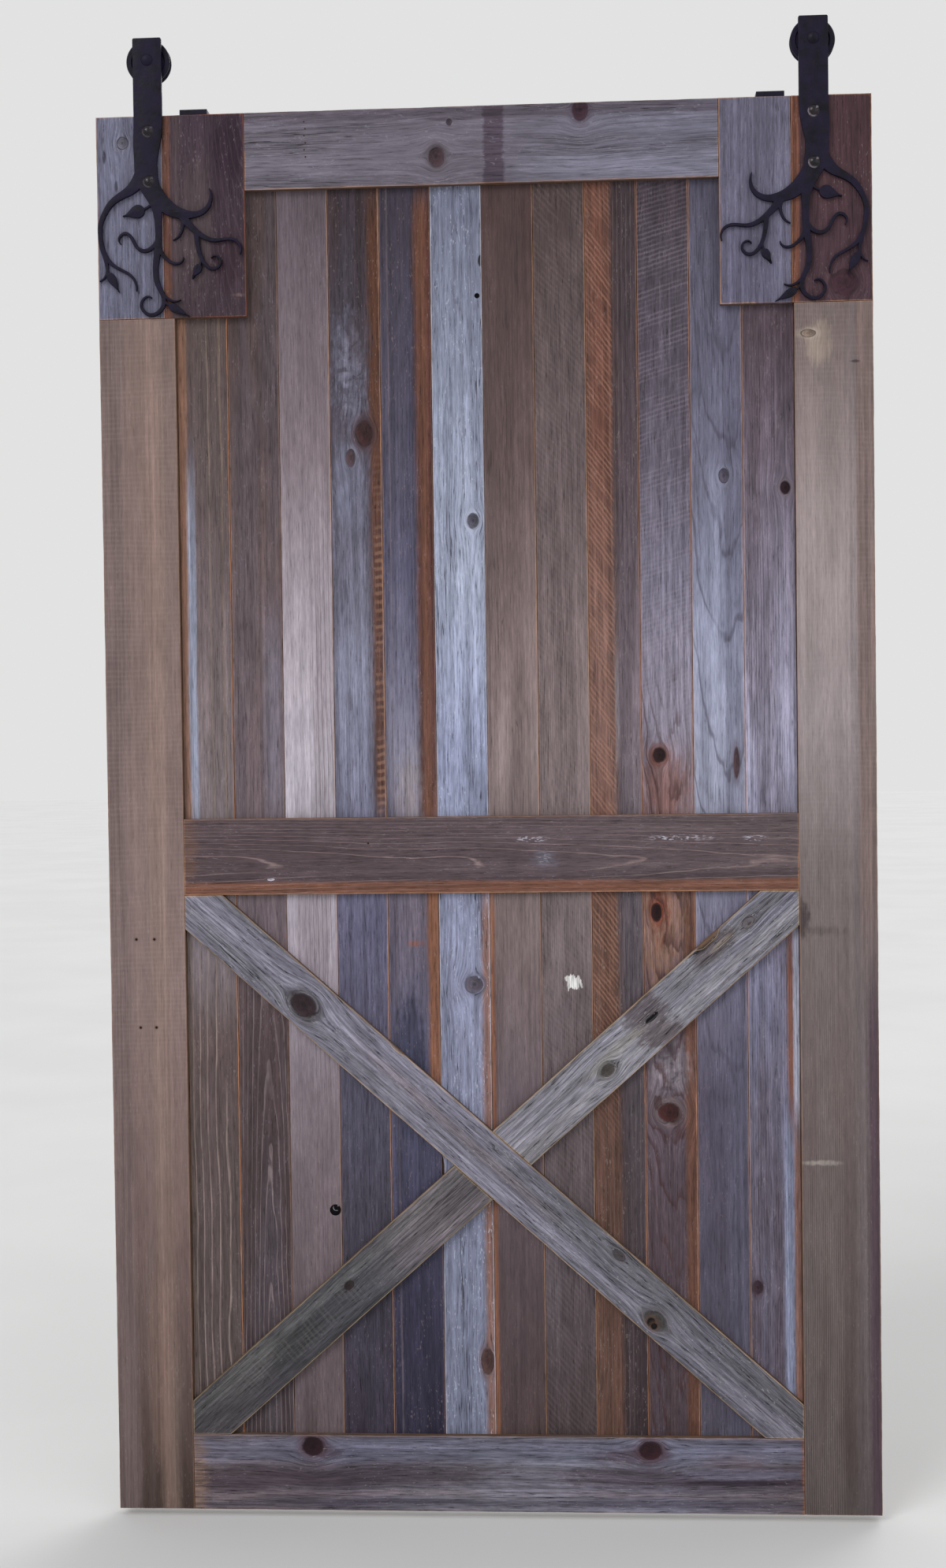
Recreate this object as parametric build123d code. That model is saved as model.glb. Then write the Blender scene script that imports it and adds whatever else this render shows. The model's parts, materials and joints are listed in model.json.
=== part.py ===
from build123d import *
import math
import os

os.makedirs("parts", exist_ok=True)

# One sliding barn door leaf of reclaimed boards, hung on two wheeled iron hangers.
# Millimetres. X runs along the door, Y from front to back, Z up.
# The origin lies on the line where both wheels bear on a track, midway along the door.

# Leaf
door_height = 2438.4
stile_width = 133.35
board_width = 88.9
board_count = 12
rail_width = 133.35
middle_rail_height = 1084.0
brace_width = 88.9
block_width = 259.0
block_height = 350.0
left_outer_block_width = 116.0
right_outer_block_width = 136.5
field_thickness = 19.05
frame_thickness = 12.7
frame_edge_ease = 1.2
field_edge_ease = 0.8

# Knot holes filled level with the boards: board number, centre from its middle, depth from the top, radius
filled_knots = [(3, 33.2, 1910.5, 9.8), (6, 36.0, 322.0, 4.5)]
filler_depth = 7.0
filler_dome = 0.6
filler_clearance = 0.05

# Hangers
left_hanger_inset = 93.0
right_hanger_inset = 98.0
strap_width = 50.0
strap_thickness = 6.35
strap_rise = 132.0
strap_corner_radius = 3.0
axle_rise = 94.0
bolt_drops = [28.5, 115.0]

# Bolts, washers and nuts of the hangers and axles
bolt_radius = 5.0
bolt_head_radius = 10.5
bolt_head_height = 5.0
bolt_neck_width = 10.0
bolt_neck_length = 5.0
bolt_tail = 3.0
nut_across_flats = 17.0
nut_thickness = 8.0
nut_corner_ease = 1.0
washer_radius = 10.5
washer_thickness = 2.0
thread_clearance = 0.05
bolt_hole_clearance = 0.25

# Wheels and their ball bearings
wheel_radius = 38.0
wheel_width = 19.0
wheel_rim_ease = 1.5
groove_radius = 32.0
groove_width = 8.0
groove_slope = 2.2
wheel_side_gap = 3.2
hub_radius = 19.0
rim_inner_radius = 29.5
web_recess = 2.5
web_slope = 1.5
bearing_radius = 15.0
bearing_width = 9.0
bearing_shoulder = 2.5
bearing_fit = 0.02
outer_ring_land_radius = 11.7
inner_ring_land_radius = 8.3
ball_radius = 2.38
ball_count = 8
ball_pitch_radius = 10.0
ball_race_clearance = 0.06
cage_wall = 1.2
cage_width = 6.4
cage_pocket_clearance = 0.12
axle_fit = 0.03
spacer_wall = 2.0

# Jump stops on the top edge, under the track
jump_stop_inset = 170.0
jump_stop_length = 48.0
jump_stop_depth = 24.0
jump_stop_height = 11.0
jump_stop_ease = 0.8
jump_stop_screw_spacing = 28.0

# Countersunk wood screws
screw_length = 25.4
screw_radius = 2.1
screw_head_radius = 4.2
screw_head_height = 2.4
screw_tip_length = 3.0
screw_clearance = 0.05
stile_screw_count = 5
stile_screw_margin = 110.0
rail_screw_offset = 32.0
block_screw_margin = 62.0
block_screw_spacing = 63.0
block_screw_inset = 31.0
braced_boards = [2, 4, 9, 11]

# Places that follow from the sizes above
door_width = 2 * stile_width + board_count * board_width
door_edge = door_width / 2
field_edge = door_edge - stile_width
strap_back = -(wheel_width / 2 + wheel_side_gap)
frame_front = strap_back
seam = frame_front + frame_thickness
field_back = seam + field_thickness
axle_height = groove_radius
door_top = axle_height - axle_rise
door_bottom = door_top - door_height
block_bottom = door_top - block_height
block_edge = door_edge - block_width
panel_top = door_bottom + middle_rail_height
panel_bottom = door_bottom + rail_width
panel_height = panel_top - panel_bottom
brace_angle = math.degrees(math.atan2(panel_height, 2 * field_edge))
brace_middle = (panel_top + panel_bottom) / 2
hanger_x = {-1: left_hanger_inset - door_edge, 1: door_edge - right_hanger_inset}


def board_centre(number):
    return -field_edge + (number - 0.5) * board_width


def block(x0, x1, y0, y1, z0, z1):
    middle = Pos((x0 + x1) / 2, (y0 + y1) / 2, (z0 + z1) / 2)
    return middle * Box(x1 - x0, y1 - y0, z1 - z0)


def disc(radius, y0, y1):
    circle = Plane.XZ * Circle(radius)
    return Pos(0, y1, 0) * extrude(circle, y1 - y0)


def ring(inner_radius, outer_radius, y0, y1):
    return disc(outer_radius, y0, y1) - disc(inner_radius, y0 - 1, y1 + 1)


def countersunk_screw(play=0.0):
    # Stands in the origin with its flat head up and its point down
    shank = screw_radius + play
    head = screw_head_radius + play
    outline = Polyline(
        (0, 0),
        (head, 0),
        (shank, -screw_head_height - play),
        (shank, -screw_length + screw_tip_length),
        (0, -screw_length - play),
        close=True,
    )
    return revolve(make_face(outline), Axis.Y).rotate(Axis.X, 90)


def screw_in_back(x, z, play=0.0):
    return Pos(x, field_back, z) * countersunk_screw(play).rotate(Axis.X, -90)


def stile_screws():
    low = door_bottom + stile_screw_margin
    high = block_bottom - stile_screw_margin
    step = (high - low) / (stile_screw_count - 1)
    line = door_edge - stile_width / 2
    return [(side * line, low + i * step) for side in (-1, 1) for i in range(stile_screw_count)]


def rail_screws(centre, half_length):
    places = []
    for number in range(1, board_count + 1):
        x = board_centre(number)
        if abs(x) + board_width / 2 < half_length + board_width / 8:
            places.append((x, centre + rail_screw_offset * (1 if number % 2 else -1)))
    return places


def corner_screws():
    places = []
    for z in (door_top - block_screw_margin, block_bottom + block_screw_margin):
        for side in (-1, 1):
            places.append((side * (door_edge - block_screw_inset), z))
            places.append((side * (field_edge - board_width / 2), z))
            places.append((side * (field_edge - board_width / 2 - block_screw_spacing), z))
    return places


def brace_screws():
    slope = math.tan(math.radians(brace_angle))
    places = []
    for number in braced_boards:
        x = board_centre(number)
        places.append((x, brace_middle - slope * x))
        places.append((x, brace_middle + slope * x))
    return places


def all_screws():
    places = stile_screws() + corner_screws() + brace_screws()
    places += rail_screws(door_top - rail_width / 2, block_edge)
    places += rail_screws(panel_top + rail_width / 2, field_edge)
    places += rail_screws(door_bottom + rail_width / 2, field_edge)
    return places


board_screw_places = all_screws()


def cut_screw_holes(board):
    # Takes out every screw that reaches into this board
    box = board.bounding_box()
    reach = screw_head_radius + screw_clearance
    holes = []
    for x, z in board_screw_places:
        if box.min.X - reach < x < box.max.X + reach and box.min.Z - reach < z < box.max.Z + reach:
            holes.append(screw_in_back(x, z, screw_clearance))
    return board - holes if holes else board


def jump_stop_screw_x(side):
    middle = side * (door_edge - jump_stop_inset)
    return [middle + shift * jump_stop_screw_spacing for shift in (-0.5, 0.5)]


def jump_stop_screws(side, play=0.0):
    height = door_top + jump_stop_height
    depth = (seam + field_back) / 2
    return [Pos(x, depth, height) * countersunk_screw(play) for x in jump_stop_screw_x(side)]


def cut_jump_stop_holes(board):
    box = board.bounding_box()
    reach = screw_head_radius + screw_clearance
    for side in (-1, 1):
        if any(box.min.X - reach < x < box.max.X + reach for x in jump_stop_screw_x(side)):
            board -= jump_stop_screws(side, screw_clearance)
    return board


def ease_front(board):
    return board.chamfer(frame_edge_ease, None, board.faces().sort_by(Axis.Y)[0].edges())


def ease_long_edges(board):
    return board.chamfer(field_edge_ease, None, board.edges().filter_by(Axis.Z))


def bolt_holes(side):
    holes = []
    for drop in bolt_drops:
        hole = disc(bolt_radius + bolt_hole_clearance, frame_front - 1, field_back + 1)
        holes.append(Pos(hanger_x[side], 0, door_top - drop) * hole)
    return holes


def knot_filler(number, off_centre, drop, radius, play=0.0):
    dome = 0 if play else filler_dome
    plug = disc(radius + play, seam, seam + filler_depth + play)
    if dome:
        cap_radius = (radius**2 + dome**2) / (2 * dome)
        cap = Sphere(cap_radius).rotate(Axis.X, 90)
        plug += Pos(0, seam + cap_radius - dome, 0) * cap & disc(radius, seam - dome, seam + 1)
    return Pos(board_centre(number) + off_centre, 0, door_top - drop) * plug


def field_board(number):
    x = board_centre(number)
    board = block(x - board_width / 2, x + board_width / 2, seam, field_back, door_bottom, door_top)
    board = cut_screw_holes(ease_long_edges(board))
    for knot in filled_knots:
        if knot[0] == number:
            board -= knot_filler(*knot, play=filler_clearance)
    return cut_jump_stop_holes(board)


def backing_board(side):
    board = block(field_edge, door_edge, seam, field_back, door_bottom, door_top)
    board = ease_long_edges(board)
    if side < 0:
        board = mirror(board, about=Plane.YZ)
    return cut_jump_stop_holes(cut_screw_holes(board - bolt_holes(side)))


def stile(side):
    board = block(field_edge, door_edge, frame_front, seam, door_bottom, block_bottom)
    if side < 0:
        board = mirror(board, about=Plane.YZ)
    return cut_screw_holes(ease_front(board))


def corner_board(side, near_edge, far_edge):
    # A short upright board of a corner block, between two distances from the door's edge
    board = block(door_edge - far_edge, door_edge - near_edge, frame_front, seam, block_bottom, door_top)
    if side < 0:
        board = mirror(board, about=Plane.YZ)
    return cut_screw_holes(ease_front(board) - bolt_holes(side))


def rail(bottom, half_length):
    board = block(-half_length, half_length, frame_front, seam, bottom, bottom + rail_width)
    return cut_screw_holes(ease_front(board))


def brace_strip(angle):
    strip = Box(3 * field_edge, frame_thickness, brace_width).rotate(Axis.Y, angle)
    strip = Pos(0, (frame_front + seam) / 2, brace_middle) * strip
    return strip & block(-field_edge, field_edge, frame_front, seam, panel_bottom, panel_top)


def long_brace():
    return cut_screw_holes(ease_front(brace_strip(brace_angle)))


def short_braces():
    # The crossing brace is cut in two where it meets the long one
    halves = (brace_strip(-brace_angle) - brace_strip(brace_angle)).solids().sort_by(Axis.Z)
    return [cut_screw_holes(ease_front(half)) for half in halves]


# Ironwork: each point is (towards the door's middle, down from its top edge), each width is measured there
trunk = [
    (0, -30, strap_width), (0, -10, strap_width), (0, 10, strap_width), (-1.2, 32, 49.4), (-3.5, 54, 46),
    (-5.2, 80, 40), (-4.5, 100, 40), (0, 120, 36), (8, 141, 27), (14, 165, 17), (15, 190, 12), (15, 214, 11),
    (12.5, 238, 11.5), (9.2, 268, 9.5), (13, 293, 9),
    (21.5, 312, 7.5), (22, 328, 7), (13, 340, 6.5), (0, 344.5, 6), (-12, 338.5, 5.5), (-17, 327.5, 5),
    (-13.5, 317.5, 4.2), (-6, 312.5, 3.4), (1, 314.5, 2),
]
outer_branch = [
    (-8, 92, 26), (-21, 116, 22), (-34, 129, 17), (-48, 137, 13), (-65.5, 149, 11), (-78.5, 167, 9),
    (-86.3, 187, 8.2), (-86.8, 207, 8), (-83.5, 229, 8.5), (-75.5, 246, 8), (-62, 259, 5.6), (-46, 268, 5),
    (-34, 276, 4.8), (-26.5, 288, 4), (-25, 302, 1.8),
]
outer_twig = [(-81, 238, 6), (-76.5, 256, 5.6), (-75.8, 268, 4.6), (-80.5, 278, 3.4), (-89, 284, 1.6)]
inner_branch = [
    (7, 126, 26), (23, 151, 26), (42, 166, 22), (66, 173, 14), (87, 171.5, 9.5), (101, 162, 7.5),
    (107.5, 147, 5.2), (105.5, 130, 1.8),
]
inner_hook = [(55, 174, 10), (57.5, 191, 5.6), (53, 206.5, 4.2), (41, 216.5, 1.6)]
diagonal_branch = [
    (54, 170, 15), (65, 186, 13), (79, 200.5, 10), (95, 212.5, 8), (115, 218.5, 6), (136, 216.5, 5.2),
    (151.5, 221, 4.8), (158, 231, 3.8), (157, 243, 1.6),
]
diagonal_curl = [
    (81, 200, 9), (82.5, 220, 8), (86.5, 240, 7), (95, 258, 6.2), (109.5, 267.5, 5.2), (121, 261.5, 4.6),
    (122, 250.5, 4), (115, 245, 3.2), (107, 248.5, 1.6),
]
middle_branch = [
    (14.5, 210, 7), (4, 228, 7), (-12, 233.5, 6.4), (-24, 225.5, 6), (-32, 210.5, 5.8), (-43, 202.5, 5.2),
    (-52.5, 208, 4.2), (-51.5, 221, 1.6),
]
short_branch = [
    (15, 222, 10), (20, 238, 7.5), (30.5, 250, 5.6), (44, 257, 4.6), (54, 254.5, 3.2), (58.5, 247, 1.6),
]
bottom_twig = [(16.5, 298, 5), (26, 313.5, 4.6), (39, 321.5, 3.6), (52, 319.5, 1.6)]
branches = [
    trunk, outer_branch, outer_twig, inner_branch, inner_hook, diagonal_branch, diagonal_curl,
    middle_branch, short_branch, bottom_twig,
]

# Leaves: where the stalk leaves the branch, where the blade starts, its point, and its width
leaves = [
    ((5, 153), (-9, 162), (-47.5, 173.5), 22.5),
    ((-76, 262), (-73.5, 270), (-54.5, 305.5), 15.0),
    ((20, 318), (31, 328), (68.5, 349), 14.0),
    ((89, 250), (87, 259.5), (72.8, 284.5), 14.0),
]
stalk_width = 4.0
stalk_sag = 0.5
# Half widths along a blade: share of its length, share of its width
leaf_outline = [(0.05, 0.3), (0.26, 0.5), (0.62, 0.27)]


def smooth_tangents(points):
    # The tangent at a point is that of the circle through it and its neighbours
    steps = [b - a for a, b in zip(points, points[1:])]
    inner = []
    for before, after in zip(steps, steps[1:]):
        inner.append((before.normalized() * after.length + after.normalized() * before.length).normalized())
    first = steps[0].normalized()
    last = steps[-1].normalized()
    start = first * (2 * first.dot(inner[0])) - inner[0]
    end = last * (2 * last.dot(inner[-1])) - inner[-1]
    return [start] + inner + [end]


def tapered_strip(stations):
    points = [Vector(across, -down) for across, down, width in stations]
    tangents = smooth_tangents(points)
    left_side = []
    right_side = []
    for point, tangent, station in zip(points, tangents, stations):
        reach = Vector(-tangent.Y, tangent.X) * (station[2] / 2)
        left_side.append(point + reach)
        right_side.append(point - reach)
    tip = points[-1] + tangents[-1] * (stations[-1][2] / 2)
    outline = [
        Spline(*left_side),
        ThreePointArc(left_side[-1], tip, right_side[-1]),
        Spline(*reversed(right_side)),
        Line(right_side[0], left_side[0]),
    ]
    return make_face(outline)


def leaf_blade(start, point, width):
    base = Vector(start[0], -start[1])
    end = Vector(point[0], -point[1])
    along = end - base
    across = Vector(-along.Y, along.X).normalized() * width
    sides = []
    for hand in (1, -1):
        stops = [base + along * part + across * (hand * share) for part, share in leaf_outline]
        sides.append(Spline(base, *stops, end))
    return make_face(sides)


def leaf_stalk(start, end):
    middle = ((start[0] + end[0]) / 2, (start[1] + end[1]) / 2 + stalk_sag)
    return tapered_strip([(*place, stalk_width) for place in (start, middle, end)])


def square_hole(drop):
    size = bolt_neck_width + 2 * bolt_hole_clearance
    return Pos(0, -drop) * Rectangle(size, size)


def hanger(side):
    # Cut from one plate: the strap above, the tree below
    bar_length = strap_rise + trunk[1][1]
    bar = Pos(0, strap_rise - bar_length / 2) * Rectangle(strap_width, bar_length)
    bar = fillet(bar.vertices().group_by(Axis.Y)[-1], strap_corner_radius)
    plate = bar + [tapered_strip(branch) for branch in branches]
    for root, start, point, width in leaves:
        plate += leaf_stalk(root, start)
        plate += leaf_blade(start, point, width)
    plate -= [square_hole(drop) for drop in bolt_drops + [-axle_rise]]
    solid = extrude(Plane.XZ * plate, strap_thickness)
    if side > 0:
        solid = mirror(solid, about=Plane.YZ)
    return Pos(hanger_x[side], strap_back, door_top) * solid


def carriage_bolt(length):
    # Dome head in front of y = 0, square neck and round shank behind it
    cap_radius = (bolt_head_radius**2 + bolt_head_height**2) / (2 * bolt_head_height)
    head = Pos(0, cap_radius - bolt_head_height, 0) * Sphere(cap_radius).rotate(Axis.X, 90)
    head &= disc(bolt_head_radius, -bolt_head_height, 0)
    half = bolt_neck_width / 2
    neck = block(-half, half, 0, bolt_neck_length, -half, half)
    return head + neck + disc(bolt_radius - axle_fit, 0, length)


def hex_nut():
    nut = extrude(Plane.XZ * RegularPolygon(nut_across_flats / 2, 6, major_radius=False), -nut_thickness)
    rim = disc(nut_across_flats / math.sqrt(3) - nut_corner_ease / 2, 0, nut_thickness)
    nut &= chamfer(rim.edges().filter_by(GeomType.CIRCLE), nut_corner_ease)
    return nut - disc(bolt_radius + thread_clearance, -1, nut_thickness + 1)


def plain_washer():
    return ring(bolt_radius + bolt_hole_clearance, washer_radius, 0, washer_thickness)


def on_bolts(shape, y):
    placed = []
    for side in (-1, 1):
        for drop in bolt_drops:
            placed.append(Pos(hanger_x[side], y, door_top - drop) * shape)
    return placed


def on_axle(side, shape, y=0.0):
    return Pos(hanger_x[side], y, axle_height) * shape


def wheel():
    half = wheel_width / 2
    lip = groove_width / 2
    seat = bearing_width / 2
    web = half - web_recess
    front = [
        (bearing_radius + bearing_fit, -half),
        (hub_radius, -half),
        (hub_radius + web_slope, -web),
        (rim_inner_radius - web_slope, -web),
        (rim_inner_radius, -half),
        (wheel_radius - wheel_rim_ease, -half),
        (wheel_radius, -half + wheel_rim_ease),
        (wheel_radius, -lip - groove_slope),
        (groove_radius, -lip),
    ]
    back = [(radius, -y) for radius, y in reversed(front[1:])]
    shoulder = bearing_radius - bearing_shoulder
    pocket = [(shoulder, half), (shoulder, seat), (bearing_radius + bearing_fit, seat)]
    return revolve(make_face(Polyline(*front, *back, *pocket, close=True)), Axis.Y)


def ball_track(play):
    # The torus that the balls sweep, with room around them
    return Torus(ball_pitch_radius, ball_radius + play).rotate(Axis.X, 90)


def bearing_outer_ring():
    seat = bearing_width / 2
    return ring(outer_ring_land_radius, bearing_radius, -seat, seat) - ball_track(ball_race_clearance)


def bearing_inner_ring():
    seat = bearing_width / 2
    return ring(bolt_radius, inner_ring_land_radius, -seat, seat) - ball_track(ball_race_clearance)


def ball_places():
    angles = [math.radians(i * 360 / ball_count) for i in range(ball_count)]
    return [Pos(ball_pitch_radius * math.cos(a), 0, ball_pitch_radius * math.sin(a)) for a in angles]


def bearing_balls():
    return [place * Sphere(ball_radius) for place in ball_places()]


def bearing_cage():
    inner = ball_pitch_radius - cage_wall / 2
    band = ring(inner, inner + cage_wall, -cage_width / 2, cage_width / 2)
    return band - [place * Sphere(ball_radius + cage_pocket_clearance) for place in ball_places()]


front_spacer_length = wheel_side_gap + (wheel_width - bearing_width) / 2
rear_spacer_length = (wheel_width - bearing_width) / 2 + wheel_side_gap / 2
rear_washer_front = bearing_width / 2 + rear_spacer_length
nut_end = washer_thickness + nut_thickness + bolt_tail
axle_length = strap_thickness - strap_back + rear_washer_front + nut_end
hanger_bolt_length = strap_thickness + frame_thickness + field_thickness + nut_end


def axle_spacer(length):
    return ring(bolt_radius, bolt_radius + spacer_wall, 0, length)


def jump_stop(side):
    middle = side * (door_edge - jump_stop_inset)
    half = jump_stop_length / 2
    bar = block(middle - half, middle + half, field_back - jump_stop_depth, field_back, door_top,
                door_top + jump_stop_height)
    bar = chamfer(bar.faces().sort_by(Axis.Z)[-1].edges(), jump_stop_ease)
    return bar - jump_stop_screws(side, screw_clearance)


def save(name, shapes):
    shapes = list(shapes) if isinstance(shapes, (list, tuple)) else [shapes]
    solids = [solid for shape in shapes for solid in shape.solids()]
    export_step(solids[0] if len(solids) == 1 else Compound(children=solids), f"parts/{name}.step")


for number in range(1, board_count + 1):
    save(f"field_board_{number:02d}", field_board(number))
save("top_rail", rail(door_top - rail_width, block_edge))
save("middle_rail", rail(panel_top, field_edge))
save("bottom_rail", rail(door_bottom, field_edge))
save("brace_long", long_brace())
brace_lower, brace_upper = short_braces()
save("brace_lower", brace_lower)
save("brace_upper", brace_upper)
save("knot_fillers", [knot_filler(*knot) for knot in filled_knots])
save("board_screws", [screw_in_back(x, z) for x, z in board_screw_places])
save("hanger_bolts", on_bolts(carriage_bolt(hanger_bolt_length), strap_back - strap_thickness))
save("hanger_washers", on_bolts(plain_washer(), field_back))
save("hanger_nuts", on_bolts(hex_nut(), field_back + washer_thickness))
save("jump_stop_screws", jump_stop_screws(-1) + jump_stop_screws(1))

for side, hand in ((-1, "left"), (1, "right")):
    outer_width = left_outer_block_width if side < 0 else right_outer_block_width
    save(f"backing_board_{hand}", backing_board(side))
    save(f"stile_{hand}", stile(side))
    save(f"corner_board_{hand}_outer", corner_board(side, 0, outer_width))
    save(f"corner_board_{hand}_inner", corner_board(side, outer_width, block_width))
    save(f"hanger_{hand}", hanger(side))
    save(f"jump_stop_{hand}", jump_stop(side))
    save(f"wheel_{hand}", on_axle(side, wheel()))
    save(f"bearing_outer_ring_{hand}", on_axle(side, bearing_outer_ring()))
    save(f"bearing_inner_ring_{hand}", on_axle(side, bearing_inner_ring()))
    save(f"bearing_balls_{hand}", [on_axle(side, ball) for ball in bearing_balls()])
    save(f"bearing_cage_{hand}", on_axle(side, bearing_cage()))
    save(f"axle_bolt_{hand}", on_axle(side, carriage_bolt(axle_length), strap_back - strap_thickness))
    save(f"axle_spacer_front_{hand}", on_axle(side, axle_spacer(front_spacer_length), strap_back))
    save(f"axle_spacer_rear_{hand}", on_axle(side, axle_spacer(rear_spacer_length), bearing_width / 2))
    save(f"axle_washer_{hand}", on_axle(side, plain_washer(), rear_washer_front))
    save(f"axle_nut_{hand}", on_axle(side, hex_nut(), rear_washer_front + washer_thickness))
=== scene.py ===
# One sliding barn door leaf of reclaimed boards, hung on two iron hangers cut as trees
import json
import math

import bmesh
import bpy
import numpy as np
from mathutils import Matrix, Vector, geometry

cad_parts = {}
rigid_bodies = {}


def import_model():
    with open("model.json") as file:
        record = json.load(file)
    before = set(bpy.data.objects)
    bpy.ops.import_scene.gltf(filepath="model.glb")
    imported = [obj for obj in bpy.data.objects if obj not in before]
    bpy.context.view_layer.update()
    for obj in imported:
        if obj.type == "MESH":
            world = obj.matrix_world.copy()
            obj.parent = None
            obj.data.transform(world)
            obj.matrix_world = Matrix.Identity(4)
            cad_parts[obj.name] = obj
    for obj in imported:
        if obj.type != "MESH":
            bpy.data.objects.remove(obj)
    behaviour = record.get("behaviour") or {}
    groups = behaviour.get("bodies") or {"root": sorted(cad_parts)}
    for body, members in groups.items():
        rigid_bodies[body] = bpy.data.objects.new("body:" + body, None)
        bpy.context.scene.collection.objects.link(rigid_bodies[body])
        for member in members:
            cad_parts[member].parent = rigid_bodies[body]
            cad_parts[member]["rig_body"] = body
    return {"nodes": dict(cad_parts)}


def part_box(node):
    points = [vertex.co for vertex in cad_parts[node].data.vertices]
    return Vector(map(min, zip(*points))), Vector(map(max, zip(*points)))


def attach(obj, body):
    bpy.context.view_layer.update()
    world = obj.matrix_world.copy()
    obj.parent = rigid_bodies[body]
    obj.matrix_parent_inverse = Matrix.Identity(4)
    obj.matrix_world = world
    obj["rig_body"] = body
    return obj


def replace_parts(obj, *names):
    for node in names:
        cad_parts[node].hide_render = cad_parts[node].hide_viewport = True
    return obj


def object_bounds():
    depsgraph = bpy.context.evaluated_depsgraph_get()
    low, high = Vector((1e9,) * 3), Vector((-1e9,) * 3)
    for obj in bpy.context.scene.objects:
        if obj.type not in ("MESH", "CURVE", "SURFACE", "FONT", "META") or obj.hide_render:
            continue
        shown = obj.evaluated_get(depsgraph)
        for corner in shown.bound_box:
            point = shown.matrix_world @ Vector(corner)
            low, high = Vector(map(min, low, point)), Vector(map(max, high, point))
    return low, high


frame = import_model()
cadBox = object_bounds()
mm = 0.001
print("frame loaded:", len(frame["nodes"]), "nodes")


def paint(colour, lift=1.0):  # a colour as a screen shows it, 0 to 255, in the shader's own scale
    parts = [min(max(part * lift / 255, 0), 1) for part in colour]
    return (*[part / 12.92 if part <= 0.04045 else ((part + 0.055) / 1.055) ** 2.4 for part in parts], 1)


class Shade:  # a shader socket that takes plain arithmetic
    def __init__(self, tree, socket=None):
        self.tree, self.socket = tree, socket

    def node(self, kind, settings=None, values=None, out=0):
        made = self.tree.nodes.new(kind)
        for key, value in (settings or {}).items():
            if key == "stops":
                setStops(made.color_ramp, value)
            else:
                setattr(made, key, value)
        for key, value in (values or {}).items():
            if isinstance(value, Shade):
                self.tree.links.new(value.socket, made.inputs[key])
            else:
                made.inputs[key].default_value = value
        return Shade(self.tree, made.outputs[out] if made.outputs else None)

    def calc(self, operation, first, second=0.0):
        return self.node("ShaderNodeMath", {"operation": operation}, {0: first, 1: second})

    def __add__(self, other):
        return self.calc("ADD", self, other)

    def __radd__(self, other):
        return self.calc("ADD", other, self)

    def __sub__(self, other):
        return self.calc("SUBTRACT", self, other)

    def __rsub__(self, other):
        return self.calc("SUBTRACT", other, self)

    def __mul__(self, other):
        return self.calc("MULTIPLY", self, other)

    def __rmul__(self, other):
        return self.calc("MULTIPLY", other, self)

    def __truediv__(self, other):
        return self.calc("DIVIDE", self, other)

    def __rtruediv__(self, other):
        return self.calc("DIVIDE", other, self)

    def __abs__(self):
        return self.calc("ABSOLUTE", self)

    def hypot(self, other):
        return self.calc("SQRT", self * self + other * other)

    def fraction(self):
        return self.calc("FRACT", self)

    def step(self, low, high):  # rises smoothly from 0 at low to 1 at high
        ends = {"Value": self, "From Min": low, "From Max": high}
        return self.node("ShaderNodeMapRange", {"interpolation_type": "SMOOTHSTEP"}, ends)

    def split(self):
        return [self.node("ShaderNodeSeparateXYZ", {}, {0: self}, i) for i in range(3)]

    def ramp(self, stops):
        return self.node("ShaderNodeValToRGB", {"stops": stops}, {0: self})

    def mix(self, first, second):  # self is how much of the second colour shows
        return self.node("ShaderNodeMix", {"data_type": "RGBA"}, {0: self, 6: first, 7: second}, 2)

    def cover(self, colour, amount, blend="MIX"):  # lays a colour over this one
        settings = {"data_type": "RGBA", "blend_type": blend}
        return self.node("ShaderNodeMix", settings, {0: amount, 6: self, 7: colour}, 2)

    def shaded(self, light):  # light is a value around 1
        return self.cover(light, 1, "MULTIPLY")

    def noise(self, scale, seed=0.0, detail=2.0, roughness=0.5, distortion=0.0):
        shift = (seed * 7.13, seed * 3.71, seed * 5.39)
        place = self.node("ShaderNodeVectorMath", {"operation": "MULTIPLY_ADD"}, {0: self, 1: scale, 2: shift})
        values = {"Vector": place, "Scale": 1, "Detail": detail, "Roughness": roughness, "Distortion": distortion}
        return self.node("ShaderNodeTexNoise", {}, values)


def setStops(ramp, stops):
    while len(ramp.elements) > 1:
        ramp.elements.remove(ramp.elements[-1])
    ramp.elements[0].position, ramp.elements[0].color = stops[0]
    for position, colour in stops[1:]:
        ramp.elements.new(position).color = colour


def newObject(name, data):
    made = bpy.data.objects.new(name, data)
    bpy.context.scene.collection.objects.link(made)
    return made


def newMaterial(name):
    material = bpy.data.materials.new(name)
    material.use_nodes = True
    material.node_tree.nodes.clear()
    return material, Shade(material.node_tree)


def finishMaterial(shade, values):
    surface = shade.node("ShaderNodeBsdfPrincipled", {}, values)
    shade.node("ShaderNodeOutputMaterial", {}, {"Surface": surface})


# Wood
woodMarks = {
    # fold is painted shade for the creases of a wrinkled patch
    "fold": (66, 56, 66), "crack": (38, 32, 34), "knotLine": (30, 23, 24),
    # the first colour here is painted shade inside holes that the mesh doesn't cut; holeRim colours a ring round them
    "hole": (18, 14, 16), "holeRim": (92, 66, 54),
    "planerPitch": 4.5,  # mm
    "ringPeak": 0.92,  # where in its width a growth ring is darkest
}

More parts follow.
